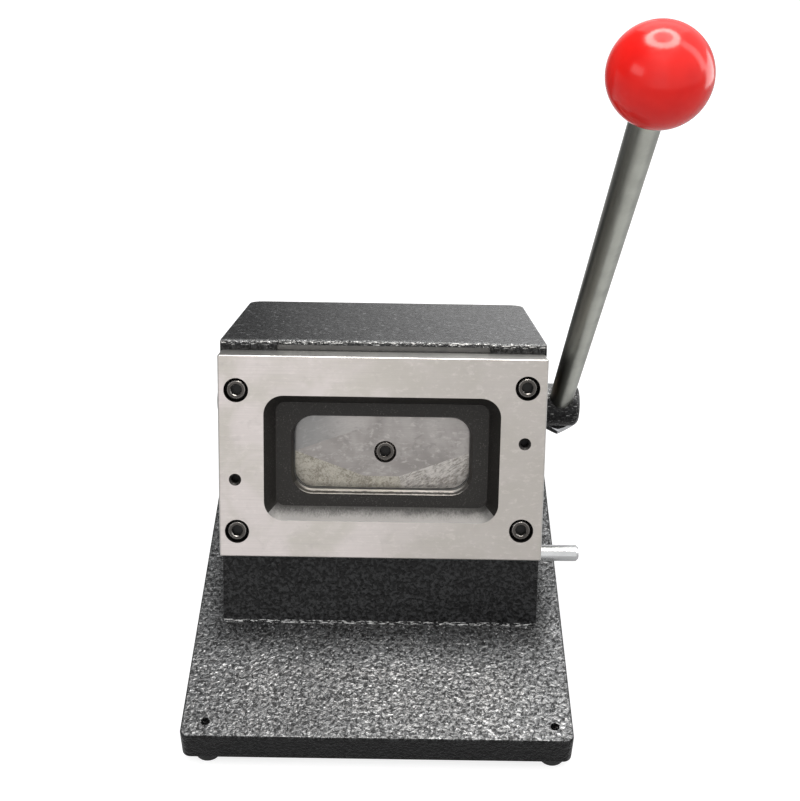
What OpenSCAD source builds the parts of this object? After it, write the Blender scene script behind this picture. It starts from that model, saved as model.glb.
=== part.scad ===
// Card die cutter: a leaning punch head on a flat base, worked by a side lever.
// Origin: middle of the base plate's underside. +X right, +Y to the back, +Z up.

/* [Card] */
// Width of the card that the punch cuts
card_w = 86; // [70:1:96]
// Height of the card that the punch cuts
card_h = 37; // [30:1:45]
// Corner radius of the card
card_r = 9.5; // [2:0.5:12]
// Room beside the card for the sheet, on each side
slot_margin = 8.5; // [8:0.5:12]
// Depth of the sheet slot
slot_gap = 2; // [1:0.1:3]

/* [Base] */
// Thickness of the base plate
base_t = 16; // [12:0.5:25]
// Base plate that shows on each side of the housing
base_margin = 13; // [8:0.5:40]
// Depth of the apron in front of the housing
apron = 70; // [50:1:120]
// Base plate behind the housing's rear top edge
base_rear = 3.2; // [0:0.1:40]
// Corner radius of the base plate
base_corner_r = 4; // [1:0.5:6]
// Left foot holes from the plate's left edge
foot_inset_left = 11.3; // [8.6:0.1:20]
// Right foot holes from the plate's right edge
foot_inset_right = 8.6; // [8.6:0.1:20]
// Foot holes from the front and rear edges
foot_inset_end = 8.6; // [8.6:0.1:25]

/* [Feet] */
// Height of a rubber foot
foot_h = 6; // [4.5:0.5:12]
// Radius of a foot where it meets the plate
foot_top_r = 8; // [7:0.1:8.5]
// Radius of a foot's sole
foot_sole_r = 6.2; // [5.8:0.1:7]
// Radius of the foot screws
foot_screw_r = 2.1; // [1.5:0.1:2.5]

/* [Housing] */
// Lean of the housing from upright, in degrees
lean = 27; // [15:1:32]
// Depth of the housing, square to its leaning front
housing_d = 136; // [110:1:170]
// Painted cheek on each side of the sheet slot
cheek_w = 27.5; // [27:0.5:36]
// Thickness of the side walls
wall_side = 12; // [11:0.5:12.5]
// Thickness of the top wall
wall_top = 8; // [6:0.5:12]
// Thickness of the front wall
wall_front = 18; // [17:0.5:24]
// Radius of the upright rear corners
rear_corner_r = 8; // [3:0.5:10]
// Radius of the top wall's front and rear edge
top_edge_r = 2.5; // [0.5:0.5:4]
// Housing that stands above the die plate
lip = 5; // [4:0.1:12]
// Thickness of the rear cover
rear_cover_t = 6; // [4:0.5:8]

/* [Die plate] */
// Thickness of the die plate
plate_t = 14; // [12:0.5:20]
// Lower edge of the die plate above the housing's foot line
plate_rise = 39.5; // [36:0.5:60]
// Step from the housing's side to the die plate's side
plate_inset = 0.5; // [0.1:0.1:2]
// Steel above and below the window
plate_border = 19; // [17:0.5:30]
// Middle of the window below the middle of the die plate
window_drop = 0.3; // [0:0.1:1]
// Flat beside the die opening, up to the pocket wall
ring_side = 7.5; // [5:0.5:10]
// Flat above and below the die opening, up to the pocket wall
ring_end = 6.25; // [4:0.25:10]
// How far the pocket wall slopes in
pocket_draft = 5; // [2:0.5:6]
// Depth of the pocket
pocket_depth = 9; // [5:0.5:9.5]
// Corner radius of the window at the front face
window_r = 9.5; // [7:0.5:12]
// How far the die opening widens towards the front
die_relief = 1.25; // [0.5:0.05:2]
// Gap between the punch and the die's cutting edge
cut_gap = 0.05; // [0.03:0.01:0.1]
// Top left screw from the left edge
screw_tl_side = 8.7; // [8:0.1:12]
// Top left screw from the top edge
screw_tl_end = 17; // [10:0.1:20]
// Top right screw from the right edge
screw_tr_side = 9.5; // [8:0.1:12]
// Top right screw from the top edge
screw_tr_end = 14.1; // [10:0.1:20]
// Bottom left screw from the left edge
screw_bl_side = 8.6; // [8:0.1:12]
// Bottom left screw from the bottom edge
screw_bl_end = 12.9; // [12:0.1:20]
// Bottom right screw from the right edge
screw_br_side = 10.3; // [8:0.1:12]
// Bottom right screw from the bottom edge
screw_br_end = 15.2; // [12:0.1:20]
// Left dowel from the left edge
dowel_left_side = 7.9; // [6:0.1:12]
// Left dowel above the bottom edge
dowel_left_rise = 38.9; // [30:0.1:45]
// Right dowel from the right edge
dowel_right_side = 10; // [6:0.1:11]
// Right dowel above the bottom edge
dowel_right_rise = 58.7; // [52:0.1:68]
// Radius of a dowel
dowel_r = 2; // [1.5:0.1:2.5]

/* [Screws] */
// Radius of the large screws
screw_r = 3; // [2.5:0.1:3.2]
// Head radius of the large screws
screw_head_r = 5; // [4.6:0.1:5.4]
// Head height of the large screws
screw_head_h = 6; // [5:0.1:6.5]
// Hexagon socket of the large screws, across flats
socket_af = 5; // [4:0.1:5.5]
// Radius of the counterbores round the large screws' heads
counterbore_r = 5.9; // [5.6:0.1:6.2]
// Radius of the small screws
small_screw_r = 2; // [1.5:0.1:2]

/* [Punch and ram] */
// Thickness of the guide plate behind the sheet
guide_t = 8; // [6:0.5:9]
// How far the punch face rests behind the sheet
punch_set_back = 0.5; // [0.3:0.1:1.5]
// Play between the punch and its guide window
punch_play = 0.1; // [0.06:0.01:0.12]
// Half width of the flat in the middle of the punch face
facet_flat = 8.6; // [5:0.1:14]
// Distance of that flat from the punch's upper and lower edge
facet_edge = 6.1; // [4:0.1:8]
// Slope of the shear facets, in degrees
facet_slope = 5; // [2:0.5:8]
// Punch screw to the right of the punch's middle
punch_screw_x = 1.5; // [-3:0.1:3]
// Thickness of the ram plate
ram_t = 8.5; // [7:0.5:12]
// Clear space in front of the ram plate at the end of its stroke
ram_gap = 1.2; // [0.8:0.1:3]
// Radius of a guide pillar
pillar_r = 4; // [3.5:0.1:4.2]
// Wall of a ram bush
bush_wall = 2; // [1.5:0.1:2]
// Distance of a guide pillar's axis from the sheet slot's side
pillar_edge = 6.5; // [6.2:0.1:6.6]

/* [Drive] */
// Swing of the lever, in degrees
swing = 60; // [45:1:66]
// Base circle radius of the cam, which is the ram's travel per radian
cam_base_r = 6; // [5:0.1:7]
// Width of the cam
cam_w = 24; // [12:1:40]
// Wall of the cam's hub round the shaft
cam_wall = 3.5; // [3:0.1:5]
// Radius of the lever shaft
shaft_r = 8; // [7:0.1:9]
// Height of the shaft's axis above the middle of the punch
shaft_over_punch = 15.8; // [14:0.1:18]
// Radius of the shaft head outside the housing
hub_r = 11; // [10:0.1:13]
// Length of the shaft head
hub_l = 19.1; // [17:0.1:26]
// Axis of the lever rod from the shaft head's outer end
rod_from_end = 9.7; // [8:0.1:11]

/* [Lever] */
// Lean of the lever towards the user at rest, in degrees
lever_lean = 27.6; // [10:0.1:35]
// Length from the shaft's axis to the middle of the knob
lever_len = 277; // [200:1:340]
// Radius of the lever rod
rod_r = 6; // [5:0.1:6.5]
// Radius of the ball knob
ball_r = 18; // [14:0.5:21]
// Lock nut, across flats
nut_af = 19; // [17:0.1:19.5]
// Height of the lock nut
nut_h = 5.5; // [4:0.5:12]

/* [Stop rod] */
// Radius of the stop rod
stop_r = 4; // [3.5:0.1:4.3]
// Stop rod's axis below the die plate's lower edge
stop_drop = 0.65; // [0.4:0.05:1.2]
// Stop rod that stands out beyond the housing's side
stop_out = 19.5; // [10:0.5:40]
// Stop rod's seat past the sheet slot on the left
stop_seat = 8.5; // [4:0.5:15]

/* [Hidden] */
$fn = 64;
// Gap between fixed pieces that fit into each other
fit = 0.05;
// Radial play of a turning or sliding round fit
play = 0.04;
// Overlap of a cutting shape past the face that it cuts
cut = 1;
// Room at the end of a screw or dowel in its hole
end_room = 1;

// Widths
slot_w = card_w + 2 * slot_margin;
housing_w = slot_w + 2 * cheek_w;
plate_w = housing_w - 2 * plate_inset;
floor_w = card_w + 2 * (die_relief + ring_side);
floor_h = card_h + 2 * (die_relief + ring_end);
plate_h = floor_h + 2 * (pocket_draft + plate_border);
plate_top = plate_rise + plate_h;
housing_h = plate_top + lip;
punch_rise = plate_rise + plate_h / 2 - window_drop;

base_w = housing_w + 2 * base_margin;
base_d = apron + housing_h * sin(lean) + housing_d * cos(lean) + base_rear;
foot_line_y = apron - base_d / 2;

// Cavity of the housing, and the narrower part that the rear cover closes
cavity_w = housing_w - 2 * wall_side;
cavity_high = housing_h - wall_top;
cover_seat = 9;
cover_edge = 8;
cover_deep = 20;
cover_set_in = 0.5;
rear_w = cavity_w - 2 * cover_seat;
cover_w = rear_w + 2 * cover_edge;
cover_high = cavity_high + wall_top / 2;
cover_back = housing_d - cover_set_in;
cover_screw_x = rear_w / 2 + cover_edge / 2 - 0.5;
rear_low = housing_d * tan(lean);
cover_screw_rises = [rear_low + 14, cover_high - 11];
cover_screw_l = 12;

// Punch, ram and springs, measured back from the housing's leaning front face
stroke = cam_base_r * swing * PI / 180;
punch_face = slot_gap + punch_set_back;
ram_front = wall_front + stroke + ram_gap;
ram_rear = ram_front + ram_t;
ram_side_gap = 1;
ram_w = cavity_w - 2 * ram_side_gap;
pad_t = 3;
pad_w = cam_w + 6;
cam_gap = 0.2;
cam_hub_r = shaft_r + cam_wall;
cam_start = cam_hub_r + 0.3;
shaft_back = ram_rear + cam_start + cam_gap;
shaft_rise = punch_rise + shaft_over_punch;
pad_h = 2 * cam_base_r + 2;
pad_low = shaft_rise + cam_base_r - pad_h / 2;
ram_low = punch_rise - card_h / 2 - 5;
ram_high = pad_low + pad_h + 1;

bush_r = pillar_r + bush_wall;
pillar_x = slot_w / 2 + pillar_edge;
pillar_gap = 1.8;
pillar_rise = shaft_rise - shaft_r - bush_r - pillar_gap;
pillar_skin = 1;
bush_l = ram_t + 5.5;
collar_gap = 0.3;
collar_l = 6;
collar_r = bush_r + 0.5;
pillar_end = ram_front + bush_l + collar_gap + collar_l + 4.2;
spring_wire = 2;
spring_inner_r = pillar_r + 0.5;
spring_outer_r = spring_inner_r + spring_wire;
pocket_r = spring_outer_r + 0.5;
spring_floor = slot_gap + guide_t + 1;
spring_gap = 0.2;
ram_recess = 3;
punch_dowel_x = card_w / 4;
punch_dowel_l = 8;

// Shaft, measured along x
shaft_bush_wall = 2;
shaft_flange_r = shaft_r + 5;
shaft_flange_t = 2;
washer_t = 1;
washer_r = shaft_r + 1.4;
washer_gap = 0.2;
ring_t = 1.1;
ring_deep = 1;
ring_slack = 0.05;
shaft_left_x = -(housing_w / 2 + shaft_flange_t + washer_t + 4);
ring_x = -(housing_w / 2 + shaft_flange_t + washer_t + 2 * washer_gap + ring_t);
head_x = housing_w / 2 + shaft_flange_t + washer_t + 2 * washer_gap;
rod_x = head_x + hub_l - rod_from_end;
lever_tilt = lean + lever_lean;
spot_face = max(hub_r - 1.5, washer_r + 0.1);
nut_turn = 30;
rod_end = spot_face + nut_h + 2;
ball_flat = 0.89 * ball_r;
stub_r = rod_r - 1;
cam_pin_r = 2.5;

// Guide plate, stop rod and the smaller holes
stop_y = slot_gap / 2;
stop_rise = plate_rise - stop_drop;
stop_left_x = -(slot_w / 2 + stop_seat);
stop_right_x = housing_w / 2 + stop_out;
stop_groove_r = stop_r + 0.05;
guide_low = stop_rise + stop_r + 1;
guide_high = cavity_high;
guide_screw_x = slot_w / 2 - 4.5;
guide_screw_rises = [guide_low + 7, guide_high - 7];
guide_screw_l = 14;
die_screw_end = 10;
die_head_sink = 0.8;
die_dowel_from = 6;
die_dowel_end = 8;

side_screw_x = housing_w / 2 - wall_side / 2;
foot_xs = [-base_w / 2 + foot_inset_left, base_w / 2 - foot_inset_right];
foot_ys = [-base_d / 2 + foot_inset_end, base_d / 2 - foot_inset_end];
housing_screw_ys = [foot_line_y + 20, foot_line_y + housing_d / cos(lean) - 20.6];
housing_screw_deep = 18;
housing_head_sink = 2;
die_screw_spots = [
    [-plate_w / 2 + screw_tl_side, plate_top - screw_tl_end],
    [plate_w / 2 - screw_tr_side, plate_top - screw_tr_end],
    [-plate_w / 2 + screw_bl_side, plate_rise + screw_bl_end],
    [plate_w / 2 - screw_br_side, plate_rise + screw_br_end]
];
dowel_spots = [
    [-plate_w / 2 + dowel_left_side, plate_rise + dowel_left_rise],
    [plate_w / 2 - dowel_right_side, plate_rise + dowel_right_rise]
];

// The housing's own frame: y runs back from its leaning front face, z up that face.
module leaning() {
    translate([0, foot_line_y, base_t])
        rotate([-lean, 0, 0])
            children();
}

// A cylinder that runs back along y from the depth y0 to y1.
module back_rod(x, z, r, y0, y1) {
    translate([x, y0, z])
        rotate([-90, 0, 0])
            cylinder(h = y1 - y0, r = r);
}

// A cylinder along x.
module cross_rod(y, z, r, x0, x1) {
    translate([x0, y, z])
        rotate([0, 90, 0])
            cylinder(h = x1 - x0, r = r);
}

module rounded_outline(w, h, r) {
    union() {
        square([w - 2 * r, h], center = true);
        square([w, h - 2 * r], center = true);
        for (sx = [-1, 1], sz = [-1, 1])
            translate([sx * (w / 2 - r), sz * (h / 2 - r)])
                circle(r);
    }
}

// A rounded rectangle in the leaning front plane, between two depths.
module front_block(w, h, r, z, y0, y1) {
    translate([0, y1, z])
        rotate([90, 0, 0])
            linear_extrude(y1 - y0)
                rounded_outline(w, h, r);
}

// The same with sloping walls: w by h with radius r at y1, wider by grow all round at y0.
module tapered_block(w, h, r, grow, z, y0, y1) {
    d = y1 - y0;
    translate([0, y1, z])
        rotate([90, 0, 0])
            union() {
                translate([0, h / 2 - r, 0])
                    rotate([90, 0, 0])
                        linear_extrude(h - 2 * r)
                            polygon([[-w / 2, 0], [w / 2, 0], [w / 2 + grow, d], [-w / 2 - grow, d]]);
                translate([-w / 2 + r, 0, 0])
                    rotate([90, 0, 90])
                        linear_extrude(w - 2 * r)
                            polygon([[-h / 2, 0], [h / 2, 0], [h / 2 + grow, d], [-h / 2 - grow, d]]);
                for (sx = [-1, 1], sz = [-1, 1])
                    translate([sx * (w / 2 - r), sz * (h / 2 - r), 0])
                        cylinder(h = d, r1 = r, r2 = r + grow);
            }
}

module hexagon(af, h) {
    cylinder(h = h, r = af / 2 / cos(30), $fn = 6);
}

// A socket head screw along y: the head's face at y0, the tip at y1.
module socket_screw(x, z, y0, y1) {
    difference() {
        union() {
            back_rod(x, z, screw_head_r, y0, y0 + screw_head_h);
            back_rod(x, z, screw_r - fit, y0 + screw_head_h / 2, y1);
        }
        translate([x, y0 - cut, z])
            rotate([-90, 0, 0])
                hexagon(socket_af, screw_head_h / 2 + cut);
    }
}

// A countersunk screw of the length l, flush at y0; it points back, or forward at facing -1.
module flat_screw(x, z, y0, l, r, facing) {
    slit_w = 0.8;
    translate([x, y0, z])
        rotate([-90 * facing, 0, 0])
            difference() {
                union() {
                    cylinder(h = r, r1 = 2 * r, r2 = r);
                    cylinder(h = l, r = r);
                }
                translate([-2 * r - cut, -slit_w / 2, -cut])
                    cube([4 * r + 2 * cut, slit_w, cut + r / 3]);
            }
}

module flat_screw_hole(x, z, y0, l, r, facing) {
    translate([x, y0, z])
        rotate([-90 * facing, 0, 0]) {
            translate([0, 0, -cut])
                cylinder(h = l + cut, r = r + fit);
            translate([0, 0, -cut])
                cylinder(h = r + cut, r1 = 2 * r + fit + cut, r2 = r + fit);
        }
}

// The space below the base plate's top face, seen from the leaning frame.
module below_base() {
    reach = 4 * housing_h;
    rotate([lean, 0, 0])
        translate([-reach / 2, -reach / 2, -reach])
            cube([reach, reach, reach]);
}

// What has to go to leave a quarter round on an edge along x.
module edge_round(y, z, r, facing) {
    length = housing_w + 2 * cut;
    translate([0, y, z])
        mirror([0, facing < 0 ? 1 : 0, 0])
            difference() {
                translate([-length / 2, -r, -r])
                    cube([length, r + cut, r + cut]);
                cross_rod(-r, -r, r, -length, length);
            }
}

module base_plate() {
    color("#2a2b2c")
        difference() {
            linear_extrude(base_t)
                rounded_outline(base_w, base_d, base_corner_r);
            for (x = foot_xs, y = foot_ys)
                translate([x, y, -cut])
                    cylinder(h = base_t + 2 * cut, r = foot_screw_r + fit);
            for (sx = [-1, 1], y = housing_screw_ys)
                translate([sx * side_screw_x, y, -cut]) {
                    cylinder(h = base_t + 2 * cut, r = screw_r + fit);
                    cylinder(h = housing_head_sink + screw_head_h + cut, r = counterbore_r);
                }
        }
}

foot_recess = 3;
foot_recess_r = 4.4;
foot_washer_r = 4.2;
foot_washer_t = 1;
foot_head_r = 3.7;
foot_head_h = 1.6;
foot_screw_l = 9;

module each_foot() {
    for (x = foot_xs, y = foot_ys)
        translate([x, y, -foot_h])
            children();
}

module rubber_feet() {
    round_r = 0.6;
    hole_r = foot_screw_r + fit;
    color("#161616")
        each_foot()
            rotate_extrude()
                polygon([
                    [hole_r, foot_h],
                    [foot_top_r, foot_h],
                    [foot_sole_r, round_r],
                    [foot_sole_r - round_r, 0],
                    [foot_recess_r, 0],
                    [foot_recess_r, foot_recess],
                    [hole_r, foot_recess]
                ]);
}

module foot_washers() {
    color("#9a9c9e")
        each_foot()
            translate([0, 0, foot_recess - foot_washer_t])
                difference() {
                    cylinder(h = foot_washer_t, r = foot_washer_r);
                    translate([0, 0, -cut])
                        cylinder(h = foot_washer_t + 2 * cut, r = foot_screw_r + fit);
                }
}

module foot_screws() {
    under = foot_recess - foot_washer_t;
    slot_t = 0.9;
    color("#8b8d90")
        each_foot()
            difference() {
                union() {
                    translate([0, 0, under - foot_head_h])
                        cylinder(h = foot_head_h, r = foot_head_r);
                    translate([0, 0, under - foot_head_h / 2])
                        cylinder(h = foot_h - under + foot_head_h / 2 + foot_screw_l, r = foot_screw_r);
                }
                translate([-foot_head_r - cut, -slot_t / 2, under - foot_head_h - cut])
                    cube([2 * foot_head_r + 2 * cut, slot_t, cut + slot_t]);
            }
}

module housing_outer() {
    translate([0, 0, -housing_h])
        linear_extrude(2 * housing_h)
            union() {
                translate([-housing_w / 2, 0])
                    square([housing_w, housing_d - rear_corner_r]);
                translate([-housing_w / 2 + rear_corner_r, 0])
                    square([housing_w - 2 * rear_corner_r, housing_d]);
                for (sx = [-1, 1])
                    translate([sx * (housing_w / 2 - rear_corner_r), housing_d - rear_corner_r])
                        circle(rear_corner_r);
            }
}

// The room inside, open to the base and to the back, with the rear cover's seat.
module housing_cavity() {
    floor_z = -housing_h;
    translate([-cavity_w / 2, wall_front, floor_z])
        cube([cavity_w, housing_d - wall_front - cover_deep, cavity_high - floor_z]);
    translate([-rear_w / 2, wall_front, floor_z])
        cube([rear_w, housing_d, cavity_high - floor_z]);
    translate([-cover_w / 2, cover_back - rear_cover_t, floor_z])
        cube([cover_w, rear_cover_t + cover_set_in + cut, cover_high - floor_z]);
}

module housing() {
    ledge_gap = 3;
    color("#2a2b2c")
        leaning()
            difference() {
                housing_outer();
                below_base();
                housing_cavity();
                // sheet slot, milled into the front face up through the top
                translate([-slot_w / 2, -cut, stop_rise])
                    cube([slot_w, slot_gap + cut, housing_h]);
                // seat of the guide plate
                translate([-slot_w / 2, 0, guide_low - fit])
                    cube([slot_w, slot_gap + guide_t, guide_high - guide_low + 2 * fit]);
                // way of the punch
                front_block(card_w + 2 * ledge_gap, card_h + 2 * ledge_gap, card_r + ledge_gap,
                    punch_rise, 0, wall_front + cut);
                // groove of the stop rod
                cross_rod(stop_y, stop_rise, stop_groove_r, stop_left_x - end_room, housing_w);
                // seats of the shaft bushes
                cross_rod(shaft_back, shaft_rise, shaft_r + shaft_bush_wall + fit,
                    -housing_w, housing_w);
                for (sx = [-1, 1]) {
                    back_rod(sx * pillar_x, pillar_rise, pillar_r + fit, pillar_skin, wall_front);
                    back_rod(sx * pillar_x, pillar_rise, pocket_r, spring_floor, wall_front + cut);
                }
                for (p = die_screw_spots)
                    back_rod(p[0], p[1], screw_r, -cut, die_screw_end + end_room);
                for (p = dowel_spots)
                    back_rod(p[0], p[1], dowel_r + fit, -cut, die_dowel_end + end_room);
                for (sx = [-1, 1], z = guide_screw_rises)
                    back_rod(sx * guide_screw_x, z, small_screw_r + fit, 0, wall_front + cut);
                for (sx = [-1, 1], z = cover_screw_rises)
                    back_rod(sx * cover_screw_x, z, small_screw_r + fit,
                        cover_back - cover_screw_l - end_room, housing_d + cut);
                rotate([lean, 0, 0])
                    for (sx = [-1, 1], y = housing_screw_ys)
                        translate([sx * side_screw_x, y - foot_line_y, -cut])
                            cylinder(h = housing_screw_deep + end_room + cut, r = screw_r);
                edge_round(0, housing_h, top_edge_r, -1);
                edge_round(housing_d, housing_h, top_edge_r, 1);
            }
}

module housing_screws() {
    color("#1d1d1e")
        for (sx = [-1, 1], y = housing_screw_ys)
            translate([sx * side_screw_x, y, housing_head_sink])
                difference() {
                    union() {
                        cylinder(h = screw_head_h, r = screw_head_r);
                        cylinder(h = base_t - housing_head_sink + housing_screw_deep,
                            r = screw_r - fit);
                    }
                    translate([0, 0, -cut])
                        hexagon(socket_af, screw_head_h / 2 + cut);
                }
}

module rear_cover() {
    base_gap = 0.3;
    color("#2c2d2e")
        leaning()
            difference() {
                translate([-cover_w / 2 + fit, cover_back - rear_cover_t, 0])
                    cube([cover_w - 2 * fit, rear_cover_t, cover_high - fit]);
                translate([0, 0, base_gap])
                    below_base();
                for (sx = [-1, 1], z = cover_screw_rises)
                    flat_screw_hole(sx * cover_screw_x, z, cover_back, 2 * rear_cover_t,
                        small_screw_r, -1);
            }
}

module rear_cover_screws() {
    color("#1d1d1e")
        leaning()
            for (sx = [-1, 1], z = cover_screw_rises)
                flat_screw(sx * cover_screw_x, z, cover_back, cover_screw_l, small_screw_r, -1);
}

module guide_plate() {
    color("#a3a4a1")
        leaning()
            difference() {
                translate([-slot_w / 2 + fit, slot_gap, guide_low])
                    cube([slot_w - 2 * fit, guide_t - fit, guide_high - guide_low]);
                front_block(card_w + 2 * punch_play, card_h + 2 * punch_play,
                    card_r + punch_play, punch_rise, 0, wall_front);
                for (sx = [-1, 1], z = guide_screw_rises)
                    flat_screw_hole(sx * guide_screw_x, z, slot_gap, wall_front, small_screw_r, 1);
            }
}

module guide_plate_screws() {
    color("#6f7173")
        leaning()
            for (sx = [-1, 1], z = guide_screw_rises)
                flat_screw(sx * guide_screw_x, z, slot_gap, guide_screw_l, small_screw_r, 1);
}

module die_plate() {
    floor_y = -plate_t + pocket_depth;
    land = 1;
    chamfer = 1;
    edge_w = card_w + 2 * cut_gap;
    edge_h = card_h + 2 * cut_gap;
    edge_r = card_r + cut_gap;
    relief_d = plate_t - pocket_depth - land;
    color("#c3beb8")
        leaning()
            difference() {
                translate([-plate_w / 2, -plate_t, plate_rise])
                    cube([plate_w, plate_t, plate_h]);
                // straight cutting land, then a relief that widens up to the pocket
                front_block(edge_w, edge_h, edge_r, punch_rise, -2 * land, cut);
                tapered_block(edge_w, edge_h, edge_r,
                    (die_relief - cut_gap) * (relief_d + cut) / relief_d,
                    punch_rise, floor_y - cut, -land);
                // pocket with sloping walls
                tapered_block(floor_w, floor_h, window_r - pocket_draft,
                    pocket_draft * (pocket_depth + cut) / pocket_depth,
                    punch_rise, -plate_t - cut, floor_y);
                for (p = die_screw_spots) {
                    back_rod(p[0], p[1], counterbore_r, -plate_t - cut,
                        -plate_t + die_head_sink + screw_head_h);
                    back_rod(p[0], p[1], screw_r, -plate_t, cut);
                }
                for (p = dowel_spots) {
                    back_rod(p[0], p[1], dowel_r + fit, -plate_t - cut, cut);
                    translate([p[0], -plate_t - cut, p[1]])
                        rotate([-90, 0, 0])
                            cylinder(h = chamfer + cut, r1 = dowel_r + chamfer + cut, r2 = dowel_r);
                }
                cross_rod(stop_y, stop_rise, stop_groove_r, -housing_w, housing_w);
            }
}

module die_screws() {
    color("#1b1b1c")
        leaning()
            for (p = die_screw_spots)
                socket_screw(p[0], p[1], -plate_t + die_head_sink, die_screw_end);
}

module die_dowels() {
    color("#55575a")
        leaning()
            for (p = dowel_spots)
                back_rod(p[0], p[1], dowel_r, -plate_t + die_dowel_from, die_dowel_end);
}

module guide_pillars() {
    color("#b4b6b8")
        leaning()
            for (sx = [-1, 1])
                back_rod(sx * pillar_x, pillar_rise, pillar_r, pillar_skin, pillar_end);
}

module pillar_collars() {
    start = ram_front + bush_l + collar_gap;
    color("#7d7f81")
        leaning()
            for (sx = [-1, 1])
                difference() {
                    back_rod(sx * pillar_x, pillar_rise, collar_r, start, start + collar_l);
                    back_rod(sx * pillar_x, pillar_rise, pillar_r + fit, start - cut,
                        start + collar_l + cut);
                }
}

module shaft_bush(side) {
    outer = housing_w / 2;
    color("#b08d57")
        leaning()
            mirror([side < 0 ? 1 : 0, 0, 0])
                difference() {
                    union() {
                        cross_rod(shaft_back, shaft_rise, shaft_r + shaft_bush_wall,
                            outer - wall_side, outer + shaft_flange_t);
                        cross_rod(shaft_back, shaft_rise, shaft_flange_r, outer,
                            outer + shaft_flange_t);
                    }
                    cross_rod(shaft_back, shaft_rise, shaft_r + play, 0, housing_w);
                }
}

module shaft_bush_left() {
    shaft_bush(-1);
}

module shaft_bush_right() {
    shaft_bush(1);
}

// A return spring as the sleeve that its coils fill.
module return_spring(side) {
    start = spring_floor + spring_gap;
    end = ram_front + ram_recess - spring_gap;
    color("#8f9294")
        leaning()
            difference() {
                back_rod(side * pillar_x, pillar_rise, spring_outer_r, start, end);
                back_rod(side * pillar_x, pillar_rise, spring_inner_r, start - cut, end + cut);
            }
}

module return_spring_left() {
    return_spring(-1);
}

module return_spring_right() {
    return_spring(1);
}

// The lever's own frame: the origin is on the shaft's axis, z runs up the rod.
module along_lever() {
    translate([rod_x, shaft_back, shaft_rise])
        rotate([lever_tilt, 0, 0])
            children();
}

module at_shaft() {
    translate([0, shaft_back, shaft_rise])
        children();
}

// The bore of the cam's spring pin, square to the shaft and clear of the working flank.
module pin_bore(r, half_l) {
    at_shaft()
        rotate([-45, 0, 0])
            translate([0, 0, -half_l])
                cylinder(h = 2 * half_l, r = r);
}

module lever_shaft() {
    edge_r = 4;
    color("#2c2d2e")
        leaning()
            difference() {
                union() {
                    cross_rod(shaft_back, shaft_rise, shaft_r, shaft_left_x, head_x + cut);
                    translate([head_x, shaft_back, shaft_rise])
                        rotate([0, 90, 0])
                            rotate_extrude()
                                union() {
                                    square([hub_r, hub_l - edge_r]);
                                    square([hub_r - edge_r, hub_l]);
                                    intersection() {
                                        translate([hub_r - edge_r, hub_l - edge_r])
                                            circle(edge_r);
                                        square([hub_r, hub_l]);
                                    }
                                }
                }
                // cross hole of the lever rod, and the flat that the lock nut bears on
                along_lever() {
                    translate([0, 0, -hub_r - cut])
                        cylinder(h = 2 * hub_r + 2 * cut, r = rod_r + fit);
                    translate([-hub_r - cut, -hub_r - cut, -spot_face - hub_r])
                        cube([2 * hub_r + 2 * cut, 2 * hub_r + 2 * cut, hub_r]);
                }
                // groove of the retaining ring
                difference() {
                    cross_rod(shaft_back, shaft_rise, shaft_r + cut, ring_x - ring_slack,
                        ring_x + ring_t + ring_slack);
                    cross_rod(shaft_back, shaft_rise, shaft_r - ring_deep, ring_x - cut,
                        ring_x + ring_t + cut);
                }
                pin_bore(cam_pin_r + fit, hub_r);
            }
}

module thrust_washer(side) {
    inner = housing_w / 2 + shaft_flange_t + washer_gap;
    color("#9c7f4e")
        leaning()
            mirror([side < 0 ? 1 : 0, 0, 0])
                difference() {
                    cross_rod(shaft_back, shaft_rise, washer_r, inner, inner + washer_t);
                    cross_rod(shaft_back, shaft_rise, shaft_r + fit, 0, housing_w);
                }
}

module thrust_washer_left() {
    thrust_washer(-1);
}

module thrust_washer_right() {
    thrust_washer(1);
}

module retaining_ring() {
    gap_w = 3;
    color("#3a3b3d")
        leaning()
            difference() {
                cross_rod(shaft_back, shaft_rise, washer_r, ring_x, ring_x + ring_t);
                cross_rod(shaft_back, shaft_rise, shaft_r - ring_deep + fit, -housing_w, 0);
                translate([-housing_w, shaft_back - gap_w / 2, shaft_rise])
                    cube([housing_w, gap_w, 2 * shaft_r]);
            }
}

// A point of the cam's working flank, an involute, as [height, depth] from the axis.
// After the swing t it lies cam_start plus the ram's travel in front of the axis.
function flank(t) =
    let (s = cam_start + cam_base_r * t * PI / 180)
    [cam_base_r * cos(t) + s * sin(t), cam_base_r * sin(t) - s * cos(t)];

flank_from = -14;
flank_to = swing + 6;
flank_parts = 20;
flank_step = (flank_to - flank_from) / flank_parts;

module drive_cam() {
    tip = flank(flank_to);
    tip_w = 4;
    back_angle = 60;
    color("#77797c")
        leaning()
            difference() {
                translate([cam_w / 2, shaft_back, shaft_rise])
                    rotate([0, -90, 0])
                        linear_extrude(cam_w)
                            union() {
                                circle(cam_hub_r);
                                polygon(concat(
                                    [[0, 0]],
                                    [for (i = [0:flank_parts]) flank(flank_from + i * flank_step)],
                                    [tip + [-1, tip_w]],
                                    [cam_hub_r * [cos(back_angle), sin(back_angle)]]
                                ));
                            }
                cross_rod(shaft_back, shaft_rise, shaft_r + fit, -cam_w, cam_w);
                pin_bore(cam_pin_r + fit, 2 * cam_hub_r);
            }
}

module cam_pin() {
    color("#505254")
        leaning()
            pin_bore(cam_pin_r, cam_hub_r - 0.5);
}

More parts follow.
